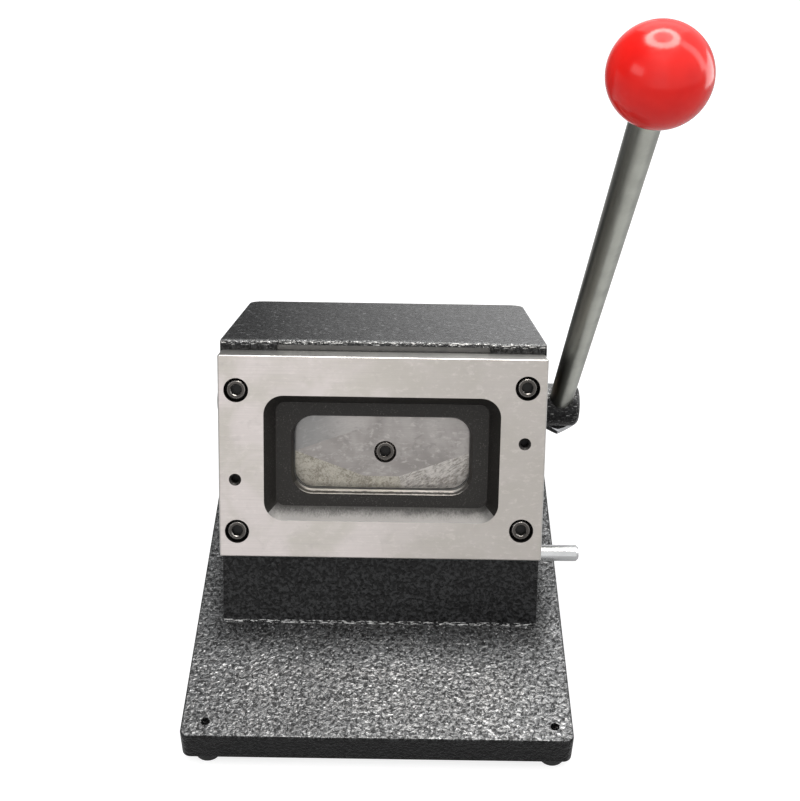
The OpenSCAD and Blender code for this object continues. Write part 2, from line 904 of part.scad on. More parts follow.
module lever_rod() {
    chamfer = 1.2;
    color("#8f918c")
        leaning()
            along_lever() {
                translate([0, 0, -rod_end])
                    cylinder(h = chamfer, r1 = rod_r - chamfer, r2 = rod_r);
                translate([0, 0, -rod_end + chamfer])
                    cylinder(h = rod_end - chamfer + lever_len - ball_flat, r = rod_r);
                translate([0, 0, lever_len - ball_flat - cut])
                    cylinder(h = ball_flat + cut + 4, r = stub_r);
            }
}

module lock_nut() {
    chamfer = 1.4;
    face_r = nut_af / 2 - 0.2;
    color("#b9bcc0")
        leaning()
            along_lever()
                rotate([0, 0, nut_turn])
                    translate([0, 0, -spot_face - nut_h])
                        difference() {
                            intersection() {
                                hexagon(nut_af, nut_h);
                                union() {
                                    cylinder(h = nut_h, r = face_r);
                                    cylinder(h = chamfer, r1 = face_r, r2 = nut_af * 0.62);
                                    translate([0, 0, chamfer])
                                        cylinder(h = nut_h - 2 * chamfer, r = nut_af * 0.62);
                                    translate([0, 0, nut_h - chamfer])
                                        cylinder(h = chamfer, r1 = nut_af * 0.62, r2 = face_r);
                                }
                            }
                            translate([0, 0, -cut])
                                cylinder(h = nut_h + 2 * cut, r = rod_r + fit);
                        }
}

module ball_knob() {
    color("#d3201e")
        leaning()
            along_lever()
                translate([0, 0, lever_len])
                    difference() {
                        sphere(ball_r);
                        translate([-ball_r, -ball_r, -ball_flat - ball_r])
                            cube([2 * ball_r, 2 * ball_r, ball_r]);
                        translate([0, 0, -ball_r])
                            cylinder(h = ball_r + 5, r = stub_r + fit);
                    }
}

// One corner's shear facet: it falls away from a line through the side's middle.
module corner_facet() {
    run = card_w / 2 - facet_flat;
    rise = card_h / 2 - facet_edge;
    reach = 2 * card_w;
    translate([-card_w / 2, punch_face, punch_rise])
        rotate([0, -atan2(rise, run), 0])
            rotate([-facet_slope, 0, 0])
                translate([-reach / 2, -reach, -reach / 2])
                    cube([reach, reach, reach]);
}

// The shear facet along the upper edge.
module edge_facet() {
    reach = 2 * card_w;
    translate([0, punch_face, punch_rise + card_h / 2 - facet_edge])
        rotate([-facet_slope, 0, 0])
            translate([-reach / 2, -reach, -reach / 2])
                cube([reach, reach, reach]);
}

// The children and their images in the punch's two middle planes.
module mirrored_at_punch(xs) {
    for (mx = xs, mz = [0, 1])
        translate([0, 0, punch_rise])
            mirror([mx, 0, 0])
                mirror([0, 0, mz])
                    translate([0, 0, -punch_rise])
                        children();
}

module punch() {
    color("#a6a7a3")
        leaning()
            difference() {
                front_block(card_w, card_h, card_r, punch_rise, punch_face, ram_front);
                mirrored_at_punch([0, 1])
                    corner_facet();
                mirrored_at_punch([0])
                    edge_facet();
                back_rod(punch_screw_x, punch_rise, screw_head_r + 0.5, punch_face - cut,
                    punch_face + die_head_sink + screw_head_h);
                back_rod(punch_screw_x, punch_rise, screw_r, punch_face, ram_front + cut);
                for (sx = [-1, 1])
                    back_rod(sx * punch_dowel_x, punch_rise, dowel_r + fit,
                        ram_front - punch_dowel_l - end_room, ram_front + cut);
            }
}

module punch_screw() {
    color("#1b1b1c")
        leaning()
            socket_screw(punch_screw_x, punch_rise, punch_face + die_head_sink, ram_rear - end_room);
}

module punch_dowels() {
    color("#55575a")
        leaning()
            for (sx = [-1, 1])
                back_rod(sx * punch_dowel_x, punch_rise, dowel_r, ram_front - punch_dowel_l,
                    ram_rear - end_room);
}

module ram_plate() {
    color("#8c8e8f")
        leaning()
            difference() {
                translate([-ram_w / 2, ram_front, ram_low])
                    cube([ram_w, ram_t, ram_high - ram_low]);
                back_rod(punch_screw_x, punch_rise, screw_r, ram_front - cut, ram_rear + cut);
                for (sx = [-1, 1]) {
                    back_rod(sx * punch_dowel_x, punch_rise, dowel_r + fit, ram_front - cut,
                        ram_rear + cut);
                    back_rod(sx * pillar_x, pillar_rise, bush_r + fit, ram_front - cut,
                        ram_rear + cut);
                    back_rod(sx * pillar_x, pillar_rise, pocket_r, ram_front - cut,
                        ram_front + ram_recess);
                }
                translate([-pad_w / 2 - fit, ram_rear - pad_t, pad_low - fit])
                    cube([pad_w + 2 * fit, pad_t + cut, pad_h + 2 * fit]);
            }
}

module ram_bush(side) {
    color("#b08d57")
        leaning()
            difference() {
                back_rod(side * pillar_x, pillar_rise, bush_r, ram_front + ram_recess,
                    ram_front + bush_l);
                back_rod(side * pillar_x, pillar_rise, pillar_r + play, 0, housing_d);
            }
}

module ram_bush_left() {
    ram_bush(-1);
}

module ram_bush_right() {
    ram_bush(1);
}

module follower_pad() {
    color("#5d5f61")
        leaning()
            translate([-pad_w / 2, ram_rear - pad_t, pad_low])
                cube([pad_w, pad_t, pad_h]);
}

module stop_rod() {
    chamfer = 1.2;
    color("#c9cbcd")
        leaning() {
            cross_rod(stop_y, stop_rise, stop_r, stop_left_x, stop_right_x - chamfer);
            translate([stop_right_x - chamfer, stop_y, stop_rise])
                rotate([0, 90, 0])
                    cylinder(h = chamfer, r1 = stop_r, r2 = stop_r - chamfer);
        }
}

base_plate();
rubber_feet();
foot_washers();
foot_screws();
housing();
housing_screws();
rear_cover();
rear_cover_screws();
guide_plate();
guide_plate_screws();
die_plate();
die_screws();
die_dowels();
guide_pillars();
pillar_collars();
shaft_bush_left();
shaft_bush_right();
return_spring_left();
return_spring_right();
lever_shaft();
thrust_washer_left();
thrust_washer_right();
retaining_ring();
drive_cam();
cam_pin();
lever_rod();
lock_nut();
ball_knob();
punch();
punch_screw();
punch_dowels();
ram_plate();
ram_bush_left();
ram_bush_right();
follower_pad();
stop_rod();
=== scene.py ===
import math

import bmesh
import bpy
from mathutils import Matrix, Vector


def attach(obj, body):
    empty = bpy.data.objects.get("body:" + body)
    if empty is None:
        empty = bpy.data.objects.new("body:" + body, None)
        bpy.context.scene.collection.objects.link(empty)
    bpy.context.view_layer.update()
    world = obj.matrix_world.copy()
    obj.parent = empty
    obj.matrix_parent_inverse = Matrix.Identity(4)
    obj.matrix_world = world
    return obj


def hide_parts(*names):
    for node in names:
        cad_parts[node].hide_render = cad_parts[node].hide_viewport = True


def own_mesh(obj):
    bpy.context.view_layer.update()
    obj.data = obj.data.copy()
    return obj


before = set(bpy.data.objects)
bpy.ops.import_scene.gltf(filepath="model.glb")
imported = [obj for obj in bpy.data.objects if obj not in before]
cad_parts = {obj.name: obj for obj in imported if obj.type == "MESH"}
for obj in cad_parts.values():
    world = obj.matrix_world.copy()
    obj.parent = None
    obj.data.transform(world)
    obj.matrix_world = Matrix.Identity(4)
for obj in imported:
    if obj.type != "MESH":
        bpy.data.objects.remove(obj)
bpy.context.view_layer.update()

MM = 0.001

# Distances under which points become one, in metres, and the widest fold that looks smooth.
SAME_POINT, SLIVER = 1e-6, 3e-6
SMOOTH_BELOW = 35.0

# Sizes of the machine in millimetres, and angles in degrees. X runs to the right. In the
# leaning frame, Y runs back from the housing's front face and Z runs up along it.
LEAN = 27.0
FIT = 0.05
FOOT_H, FOOT_HOLE_R = 6.0, 2.15
BASE_W, BASE_T, BASE_R, BASE_REAR = 184.0, 16.0, 4.0, 3.2
APRON = 70.0
HOUSING_W, HOUSING_D, HOUSING_H = 158.0, 136.0, 144.5
SIDE_WALL, FRONT_WALL, REAR_WALL, TOP_WALL = 12.0, 18.0, 20.0, 8.0
REAR_R, TOP_R = 8.0, 2.5
BASE_D = (APRON + HOUSING_H * math.sin(math.radians(LEAN))
          + HOUSING_D * math.cos(math.radians(LEAN)) + BASE_REAR)
FOOT_LINE = APRON - BASE_D / 2
FOOT_XS = (-80.7, 83.4)
FOOT_YS = (-BASE_D / 2 + 8.6, BASE_D / 2 - 8.6)
SLOT_W, SLOT_GAP = 103.0, 2.0
GUIDE_T, GUIDE_LOW = 8.0, 43.8
COVER_W, COVER_T, COVER_SINK, COVER_DOWN = 132.0, 6.0, 0.5, 4.0
PLATE_W, PLATE_T, PLATE_LOW, PLATE_HIGH = 157.0, 14.0, 39.5, 139.5
POCKET_W, POCKET_H, POCKET_R, POCKET_SLOPE = 113.5, 62.0, 9.5, 5.0
LAND_T, LAND_FLARE = 5.0, 1.25
CARD_W, CARD_H, CARD_R = 86.0, 37.0, 9.5
PUNCH_MID, PUNCH_FACE, PUNCH_SCREW_X, PUNCH_ROOM = 89.2, 2.5, 1.5, 3.0
SCREW_HOLE_R, SCREW_SINK_R, HEAD_H, HEAD_SINK = 3.0, 5.9, 6.0, 0.8
DIE_SCREWS = ((-69.8, 122.5), (69.0, 125.4), (-69.9, 52.4), (68.2, 54.7))
DOWELS, DOWEL_HOLE_R = ((-70.6, 78.4), (68.5, 98.2)), 2.05
CAM_PITCH, LEVER_TRAVEL = 6.0, 60.0
STROKE = CAM_PITCH * math.radians(LEVER_TRAVEL)
RAM_FRONT = FRONT_WALL + STROKE + 1.2
RAM_REAR = RAM_FRONT + 8.5
PILLAR_X, PILLAR_R, PILLAR_SINK_R = 58.0, 4.0, 7.0
SPRING_FRONT, SPRING_REAR = SLOT_GAP + 9.2, RAM_FRONT + 2.8
SHAFT_BACK, SHAFT_UP, SHAFT_R, SHAFT_LEFT = RAM_REAR + 12.0, 105.0, 8.0, -86.0
BUSH_R, FLANGE_R, FLANGE_T = SHAFT_R + 2.0, SHAFT_R + 5.0, 2.0
WASHER_R, WASHER_T, WASHER_GAP, RING_T = SHAFT_R + 1.4, 1.0, 0.2, 1.1
HEAD_X, HEAD_R, HEAD_L, HEAD_DOME = 82.4, 11.0, 19.1, 4.0
ROD_X, ROD_R, LEVER_LEAN, LEVER_L = 91.8, 6.0, 27.6, 277.0
BALL_R = 18.0
BALL_FLAT = 0.89 * BALL_R
NUT_AF, NUT_H, NUT_TURN, SPOT_FACE = 19.0, 5.5, 30.0, 9.5
STOP_Y, STOP_UP, STOP_R, STOP_LEFT, STOP_RIGHT = 1.0, 38.85, 4.0, -60.0, 98.5


def turn(axis, degrees):
    return Matrix.Rotation(math.radians(degrees), 4, axis)


def move(x, y, z):
    return Matrix.Translation((x * MM, y * MM, z * MM))


LEANING = move(0, FOOT_LINE, BASE_T) @ turn("X", -LEAN)
LEVER = LEANING @ move(ROD_X, SHAFT_BACK, SHAFT_UP) @ turn("X", LEAN + LEVER_LEAN)
SHAFT = LEANING @ move(0, SHAFT_BACK, SHAFT_UP) @ turn("Y", 90)
TO_FRONT = turn("X", 90)

# The leaning frame's backward in the world, and the world's upright in the leaning frame.
BACKWARD = Vector((0, math.cos(math.radians(LEAN)), -math.sin(math.radians(LEAN))))
UPRIGHT = Vector((0, -math.sin(math.radians(LEAN)), math.cos(math.radians(LEAN))))


# Modelling

def select(*objs):
    """Selects only these pieces and makes the first one active."""
    bpy.ops.object.select_all(action="DESELECT")
    for obj in objs:
        obj.select_set(True)
    bpy.context.view_layer.objects.active = objs[0]


def open_edit(obj, kind=None):
    """Edit mode with all of the piece selected, in another selection mode if kind names one."""
    select(obj)
    bpy.ops.object.mode_set(mode="EDIT")
    if kind:
        bpy.ops.mesh.select_mode(type=kind)
    bpy.ops.mesh.select_all(action="SELECT")


def close_edit(obj):
    bpy.ops.object.mode_set(mode="OBJECT")
    return obj


def modify(obj, kind, **settings):
    """Adds a modifier and applies it."""
    select(obj)
    modifier = obj.modifiers.new("shape", kind)
    for key, value in settings.items():
        setattr(modifier, key, value)
    bpy.ops.object.modifier_apply(modifier=modifier.name)
    return obj


def rename(obj, name):
    obj.name = name
    obj.data.name = name
    return obj


def named(name):
    """The piece that was added last, with its name and its place in its mesh."""
    bpy.ops.object.transform_apply(location=True, rotation=True, scale=True)
    return rename(bpy.context.object, name)


def placed(obj, matrix):
    select(obj)
    obj.matrix_world = matrix @ obj.matrix_world
    bpy.ops.object.transform_apply(location=True, rotation=True, scale=True)
    return obj


def block(name, low, high):
    middle = [(a + b) / 2 * MM for a, b in zip(low, high)]
    size = [(b - a) * MM for a, b in zip(low, high)]
    bpy.ops.mesh.primitive_cube_add(size=1, location=middle, scale=size)
    return named(name)


def sheet(name, size, at, rotation):
    """A flat rectangle, with its size and place in metres."""
    bpy.ops.mesh.primitive_plane_add(size=1, location=at, rotation=rotation)
    bpy.context.object.scale = (*size, 1)
    return named(name)


def arc(r, z, radius, start, end, steps):
    """Points of an arc of a turned profile."""
    return [(r + radius * math.cos(math.radians(a)), z + radius * math.sin(math.radians(a)))
            for a in (start + (end - start) * i / steps for i in range(steps + 1))]


def turned(name, profile, sides=64, ring=False):
    """A turned piece about z: one ring of the profile is drawn out after another."""
    r, z = profile[0]
    bpy.ops.mesh.primitive_circle_add(vertices=sides, radius=r * MM, location=(0, 0, z * MM),
                                      fill_type="NOTHING" if ring else "NGON")
    obj = named(name)
    open_edit(obj)
    for next_r, next_z in profile[1:]:
        bpy.ops.mesh.extrude_region_move(
            TRANSFORM_OT_translate={"value": (0, 0, (next_z - z) * MM)})
        bpy.ops.transform.resize(value=(next_r / r, next_r / r, 1),
                                 center_override=(0, 0, next_z * MM))
        r, z = next_r, next_z
    bpy.ops.mesh.select_all(action="SELECT")
    bpy.ops.mesh.remove_doubles(threshold=SAME_POINT)
    bpy.ops.mesh.normals_make_consistent(inside=False)
    return close_edit(obj)


def pick_edges(obj, test, sharper=0.0):
    """In edit mode, selects the edges whose two ends, in mm, and fold pass the test."""
    mesh = bmesh.from_edit_mesh(obj.data)
    for part in (mesh.verts, mesh.edges, mesh.faces):
        for item in part:
            item.select = False
    for edge in mesh.edges:
        a, b = (v.co / MM for v in edge.verts)
        if test(a, b) and edge.calc_face_angle(0.0) >= math.radians(sharper):
            edge.select_set(True)
    bmesh.update_edit_mesh(obj.data)


def round_edges(obj, test, radius, steps, sharper=0.0):
    open_edit(obj, "EDGE")
    pick_edges(obj, test, sharper)
    bpy.ops.mesh.bevel(offset=radius * MM, segments=steps, affect="EDGES", clamp_overlap=False)
    return close_edit(obj)


def slice_off(obj, point, normal):
    """Cuts away what lies on the normal's side of a plane and closes the cut."""
    open_edit(obj)
    bpy.ops.mesh.bisect(plane_co=[v * MM for v in point], plane_no=normal, use_fill=True,
                        clear_outer=True)
    return close_edit(obj)


def combine(obj, tool, operation):
    modify(obj, "BOOLEAN", operation=operation, solver="EXACT", object=tool)
    bpy.data.objects.remove(tool)
    return obj


def cut(obj, *tools):
    for tool in tools:
        combine(obj, tool, "DIFFERENCE")
    return obj


def drill(r, x, z, y0, y1, sides=48):
    """A round cutter along y in the leaning frame."""
    return placed(turned("cutter", ((r, -y1), (r, -y0)), sides), move(x, 0, z) @ TO_FRONT)


def cross_drill(r, y, z, x0, x1):
    """A round cutter along x."""
    return placed(turned("cutter", ((r, x0), (r, x1))), move(0, y, z) @ turn("Y", 90))


def base_drill(r, x, y, z0, z1, sides):
    """A round cutter straight down."""
    return placed(turned("cutter", ((r, z0), (r, z1)), sides), move(x, y, 0))


def below_base(gap=0.0):
    """In the leaning frame, a cutter for all that is lower than gap over the base plate."""
    return placed(block("cutter", (-200, -300, -300), (200, 300, gap)), turn("X", LEAN))


def smoothed(obj):
    """Clears up after the cuts and shades curves smooth and flats flat."""
    open_edit(obj)
    bpy.ops.mesh.remove_doubles(threshold=SLIVER)
    bpy.ops.mesh.dissolve_degenerate(threshold=SLIVER)
    close_edit(obj)
    bpy.ops.object.shade_smooth_by_angle(angle=math.radians(SMOOTH_BELOW))
    return modify(obj, "WEIGHTED_NORMAL", keep_sharp=True, weight=100)


def joined(name, parts):
    select(*parts)
    bpy.ops.object.join()
    return rename(parts[0], name)


def copies(obj, places):
    """The piece at each place, every copy with its own mesh."""
    made = []
    for place in places:
        select(obj)
        bpy.ops.object.duplicate(linked=False)
        made.append(placed(bpy.context.object, place))
    bpy.data.objects.remove(obj)
    return made


def dress(obj, *finishes):
    obj.data.materials.clear()
    for finish in finishes:
        obj.data.materials.append(finish)


def paint_faces(obj, finishes, choose):
    """Gives each face the finish whose number choose returns for its middle and normal."""
    dress(obj, *finishes)
    for face in obj.data.polygons:
        face.material_index = choose(Vector(face.center) / MM, Vector(face.normal))
    return obj


def install(obj, body, node, finish=None):
    """The piece takes a CAD node's place on its body. A finish covers all of it."""
    if finish:
        dress(obj, finish)
    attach(obj, body)
    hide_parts(node)


# Finishes

class Socket:
    """The output of a node, which can be used in sums."""

    def __init__(self, tree, output):
        self.tree, self.output = tree, output

    def maths(self, operation, *terms):
        return self.tree.node("ShaderNodeMath", {"operation": operation}, dict(enumerate(terms)))

    def __add__(self, other):
        return self.maths("ADD", self, other)

    def __radd__(self, other):
        return self.maths("ADD", other, self)

    def __sub__(self, other):
        return self.maths("SUBTRACT", self, other)

    def __rsub__(self, other):
        return self.maths("SUBTRACT", other, self)

    def __mul__(self, other):
        return self.maths("MULTIPLY", self, other)

    def __rmul__(self, other):
        return self.maths("MULTIPLY", other, self)

    def absolute(self):
        return self.maths("ABSOLUTE", self)

    def ramp(self, low, high, at_low=0.0, at_high=1.0):
        """One value below low and another above high, smooth between."""
        return self.tree.node("ShaderNodeMapRange", {"interpolation_type": "SMOOTHSTEP"},
                              {"Value": self, "From Min": low, "From Max": high,
                               "To Min": at_low, "To Max": at_high})


class Tree:
    """The nodes of a material or of the world."""

    def __init__(self, owner):
        owner.use_nodes = True
        self.owner, self.tree = owner, owner.node_tree
        self.tree.nodes.clear()

    def node(self, kind, settings, inputs, output=0):
        node = self.tree.nodes.new(kind)
        for key, value in settings.items():
            setattr(node, key, value)
        for key, value in inputs.items():
            self.connect(node.inputs[key], value)
        return Socket(self, node.outputs[output]) if node.outputs else None

    def connect(self, socket, value):
        if isinstance(value, Socket):
            self.tree.links.new(value.output, socket)
        else:
            socket.default_value = value

    def part(self, vector, axis):
        return self.node("ShaderNodeSeparateXYZ", {}, {0: vector}, axis)

    def ray(self, kind):
        return self.node("ShaderNodeLightPath", {}, {}, kind)

    def glow(self, strength, colour=(1, 1, 1)):
        return self.node("ShaderNodeEmission", {}, {"Strength": strength, "Color": (*colour, 1)})

    def surface(self, shader):
        """Ends a material, which it returns."""
        self.node("ShaderNodeOutputMaterial", {}, {"Surface": shader})
        return self.owner


class Finish(Tree):
    """A material whose patterns are laid out in millimetres."""

    def __init__(self, name, colour, roughness, metallic=0.0, **fixed):
        super().__init__(bpy.data.materials.new(name))
        self.shader = self.tree.nodes.new("ShaderNodeBsdfPrincipled")
        self.surface(Socket(self, self.shader.outputs[0]))
        self.feed("Base Color", (*colour, 1.0))
        self.feed("Roughness", roughness)
        self.feed("Metallic", metallic)
        for key, value in fixed.items():
            self.feed(key.replace("_", " "), value)
        self.place = self.node("ShaderNodeVectorMath", {"operation": "SCALE"},
                               {0: self.node("ShaderNodeTexCoord", {}, {}, "Object"),
                                "Scale": 1 / MM})

    def feed(self, name, value):
        self.connect(self.shader.inputs[name], value)

    def along(self, axis):
        return self.part(self.place, axis)

    def depth(self):
        """Millimetres back from the housing's leaning front face."""
        back = self.node("ShaderNodeVectorMath", {"operation": "DOT_PRODUCT"},
                         {0: self.place, 1: BACKWARD}, "Value")
        return back - BACKWARD.dot((0, FOOT_LINE, BASE_T))

    def noise(self, size, detail=2.0, roughness=0.5, distortion=0.0, place=None, output=0):
        """Noise whose blobs are about that many millimetres across."""
        return self.node("ShaderNodeTexNoise", {"noise_dimensions": "3D"},
                         {"Vector": place or self.place, "Scale": 1.0 / size, "Detail": detail,
                          "Roughness": roughness, "Distortion": distortion}, output)

    def cells(self, size, place, smooth):
        return self.node("ShaderNodeTexVoronoi", {"feature": "SMOOTH_F1"},
                         {"Vector": place, "Scale": 1.0 / size, "Smoothness": smooth})

    def stretched(self, scale, rotation=(0, 0, 0)):
        """The place, turned and then scaled, for marks that run one way."""
        rotated = self.node("ShaderNodeMapping", {"vector_type": "POINT"},
                            {"Vector": self.place,
                             "Rotation": [math.radians(a) for a in rotation]})
        return self.node("ShaderNodeVectorMath", {"operation": "MULTIPLY"},
                         {0: rotated, 1: scale})

    def shifted(self, amount, size):
        """The place, moved about by noise, so that a pattern loses its order."""
        drift = self.node("ShaderNodeVectorMath", {"operation": "SUBTRACT"},
                          {0: self.noise(size, 1.0, output="Color"), 1: (0.5, 0.5, 0.5)})
        return self.node("ShaderNodeVectorMath", {"operation": "MULTIPLY_ADD"},
                         {0: drift, 1: (amount,) * 3, 2: self.place})

    def mix(self, factor, one, other):
        """From the one colour to the other as factor goes from 0 to 1."""
        one, other = (c if isinstance(c, Socket) else (*c, 1.0) for c in (one, other))
        return self.node("ShaderNodeMix", {"data_type": "RGBA"}, {0: factor, 6: one, 7: other}, 2)

    def bump(self, height, strength, depth):
        """Relief that is depth millimetres high."""
        return self.node("ShaderNodeBump", {}, {"Height": height, "Strength": strength,
                                                "Distance": depth * MM})


def shade_of(colour, share):
    return tuple(min(1.0, share * v) for v in colour)


def hammered_paint(name, size, dash_share=0.0, corner=False, glint_size=1.5, bright=0.38):
    """Black hammer paint: glossy worm-like crests, about size apart, and dull creases.

    Faces that look up are painted lighter, with grey metal flakes on the crests, as painted top
    light, and carry light specks, glint_size apart, as painted glints. Upright faces are painted
    darker, as painted side shade. With dash_share, short dashes as bright as bright show through:
    chipped paint, brightened into painted highlights and glints on the housing's edges and the
    hub. With corner, the apron is painted darker in front of the housing's foot, as painted shade.
    """
    f = Finish(name, (0.01, 0.01, 0.01), 0.3, Specular_IOR_Level=0.22, Coat_Roughness=0.16)
    place = f.shifted(0.7 * size, 1.3 * size)
    worms = f.noise(size, 1.2, 0.5, 0.7, place)
    pebbles = f.cells(1.25 * size, place, 0.45)
    fine = f.noise(0.5)
    broad = f.noise(48.0).ramp(0.30, 0.70)
    crest = (worms + 0.12 * fine).ramp(0.38, 0.74)
    up = f.part(f.node("ShaderNodeNewGeometry", {}, {}, "Normal"), "Z")
    # Painted top light: faces that look up are painted lighter, with grey metal flakes on the
    # crests.
    flake_and_top_light = (0.12 + 0.88 * crest) * up.ramp(0.865, 0.99) * (0.68 + 0.32 * broad)
    # Painted shade: the apron's lighter paint is darkened just in front of the housing's foot.
    if corner:
        ahead = FOOT_LINE - f.along("Y") + 10.0 * f.noise(7.0)
        near = ahead.ramp(8.0, 34.0, 1.0, 0.0) * f.along("X").absolute().ramp(76.0, 90.0, 1.0, 0.0)
        flake_and_top_light = flake_and_top_light * (1.0 - 0.85 * near)
    # Painted glints: light specks in the colour, mostly on faces that look up.
    painted_glint = f.noise(glint_size, 3.0, 0.6).ramp(0.59, 0.68) * (0.05 + 0.95 * up.ramp(0.6, 0.9))
    # Painted side shade: upright faces take darker crests and less coat than faces that look up.
    side_shade = 0.35 + 0.65 * up.ramp(0.05, 0.42)
    colour = f.mix(side_shade * worms.ramp(0.44, 0.62), (0.0020, 0.0020, 0.0022),
                   (0.0260, 0.0265, 0.0275))
    colour = f.mix(flake_and_top_light, colour, (0.355, 0.36, 0.365))
    colour = f.mix(0.5 * painted_glint, colour, (0.60, 0.605, 0.615))
    metal = 0.15 * crest + 0.7 * flake_and_top_light + 0.3 * painted_glint
    # Bright dashes: chipped paint, and on the housing's edges and the hub painted highlights and
    # glints.
    if dash_share:
        bright_dash = f.noise(1.0, 3.0, 0.6, 0.3, f.stretched((0.35, 1.4, 1.4)))
        bright_dash = 0.8 * bright_dash.ramp(0.62 - dash_share, 0.70 - dash_share)
        colour = f.mix(bright_dash, colour, (bright, bright, 0.985 * bright))
        metal = metal + bright_dash
    f.feed("Base Color", colour)
    f.feed("Metallic", metal)
    f.feed("Coat Weight", side_shade * (0.05 + 0.16 * crest) + 0.4 * flake_and_top_light)
    f.feed("Roughness", 0.20 + 0.16 * fine)
    f.feed("Normal", f.bump(1.0 * worms + 0.25 * pebbles + 0.04 * fine, 1.0, 0.52 * size))
    return f.owner


def ground_steel(name, colour, warm, rotation=(0, 0, 0), rough=0.34, wear=0.3, rubbed=0.0,
                 fades_to=None):
    """Ground steel with fine lines along x, cloudy tint and small dull or bright smears.

    With rubbed, the right side is duller and warmer than the left. With fades_to, the colour
    runs over into that one towards the middle.
    """
    f = Finish(name, colour, rough, 1.0)
    lines = f.noise(1.0, 3.0, 0.65, 0.0, f.stretched((0.03, 2.6, 2.6), rotation))
    smear = f.noise(2.2, 4.0, 0.7, 0.4, f.stretched((0.55, 1.0, 1.0), rotation))
    cloud = f.noise(26.0, 3.0, 0.6, 0.6).ramp(0.36, 0.66)
    spots = f.noise(6.0, 4.0, 0.62, 0.5).ramp(0.54, 0.72)
    dull, bright = shade_of(colour, 0.70), shade_of(colour, 1.22)
    shade = f.mix(cloud, colour, warm)
    if rubbed:
        worn = f.along("X") + 60.0 * f.noise(45.0)
        shade = f.mix(rubbed * worn.ramp(0.0, 80.0), shade, shade_of(warm, 0.8))
    if fades_to:
        shade = f.mix((f.along("X") + 6.0 * smear).ramp(-34.0, -8.0), shade, fades_to)
    shade = f.mix(wear * spots, shade, dull)
    shade = f.mix(wear * smear.ramp(0.50, 0.72), shade, bright)
    f.feed("Base Color", f.mix(0.22 * lines.ramp(0.40, 0.70), shade, dull))
    f.feed("Roughness", rough - 0.06 + 0.16 * lines + 0.05 * cloud)
    f.feed("Normal", f.bump(lines + 0.4 * wear * smear, 0.35, 0.02))
    return f.owner


def scored_steel(name, low, high, scale, rotation, size, rough):
    """Hand-ground steel: crossed scores and torn marks that run one way."""
    f = Finish(name, high, rough, 1.0)
    scores = f.noise(size, 4.0, 0.7, 0.8, f.stretched(scale, rotation))
    fine = f.noise(0.6, 3.0, 0.6)
    cloud = f.noise(7.0, 3.0, 0.6, 0.5)
    depth = 0.65 * scores + 0.15 * fine + 0.35 * cloud
    f.feed("Base Color", f.mix(depth.ramp(0.46, 0.68), low, high))
    f.feed("Roughness", rough - 0.05 + 0.18 * fine)
    f.feed("Normal", f.bump(scores + 0.3 * fine, 0.8, 0.12))
    return f.owner


def dark_scale(name):
    """Brown-black scale that still shows the milling under it."""
    f = Finish(name, (0.02, 0.018, 0.017), 0.5, 0.35)
    grain = f.noise(0.55, 3.0, 0.65)
    patch = f.noise(9.0, 3.0, 0.6, 0.6).ramp(0.35, 0.7)
    speck = f.noise(0.7, 2.0, 0.6).ramp(0.54, 0.72)
    f.feed("Base Color", f.mix(speck * (0.20 + 0.5 * patch), (0.020, 0.018, 0.016),
                               (0.11, 0.103, 0.097)))
    f.feed("Roughness", 0.40 + 0.22 * grain)
    f.feed("Normal", f.bump(grain, 0.5, 0.08))
    return f.owner


def rubbed_and_lit_wall(name):
    """The pocket's lower wall, which looks up: painted lighter than the other walls as painted
    light from above, and lightest at its mouth, drawn as scale rubbed through to grey metal.
    """
    f = Finish(name, (0.1, 0.1, 0.1), 0.5, 0.5)
    streaks = f.noise(0.9, 4.0, 0.7, 0.4, f.stretched((1.3, 0.5, 0.5)))
    cloud = f.noise(8.0, 3.0, 0.6, 0.5)
    outward = (-LAND_T - f.depth()) * (1.0 / (PLATE_T - LAND_T))
    rubbed = (outward + 0.9 * streaks + 0.5 * cloud).ramp(0.72, 1.55)
    f.feed("Base Color", f.mix(rubbed, (0.055, 0.053, 0.050), (0.36, 0.35, 0.34)))
    f.feed("Metallic", 0.25 + 0.4 * rubbed)
    f.feed("Roughness", 0.38 + 0.2 * streaks)
    f.feed("Normal", f.bump(streaks, 0.6, 0.15))
    return f.owner


def worn_and_lit_land(name):
    """The die opening's lower land, which looks up: a bright line at each edge, partly wear and
    partly a painted highlight from the light above, with scale between.
    """
    f = Finish(name, (0.3, 0.3, 0.3), 0.3, 0.6)
    torn = f.noise(1.6, 4.0, 0.7, 0.6, f.stretched((0.45, 1.0, 1.0)))
    inward = f.depth() + LAND_T + 2.2 * (torn - 0.5)
    edges = inward.ramp(0.3, 1.0, 1.0, 0.0) + inward.ramp(2.3, 3.0)
    bright = edges * (f.along("X").absolute() + 7.0 * torn).ramp(38.0, 46.0, 1.0, 0.0)
    f.feed("Base Color", f.mix(bright, (0.060, 0.056, 0.052), (0.86, 0.84, 0.81)))
    f.feed("Metallic", 0.35 + 0.4 * bright)
    f.feed("Roughness", 0.26 + 0.18 * torn)
    f.feed("Normal", f.bump(torn, 0.5, 0.1))
    return f.owner


def worn_metal(name, colour, rough, metallic=1.0, depth=0.02, size=1.2):
    """A plain machined or blackened metal with a fine grain and a few duller patches."""
    f = Finish(name, colour, rough, metallic)
    grain = f.noise(size, 3.0, 0.6)
    patch = f.noise(6.0, 2.0, 0.5, 0.5).ramp(0.4, 0.7)
    f.feed("Base Color", f.mix(0.4 * patch, colour, shade_of(colour, 0.65)))
    f.feed("Roughness", rough - 0.05 + 0.14 * grain)
    f.feed("Normal", f.bump(grain, 0.4, depth))
    return f.owner


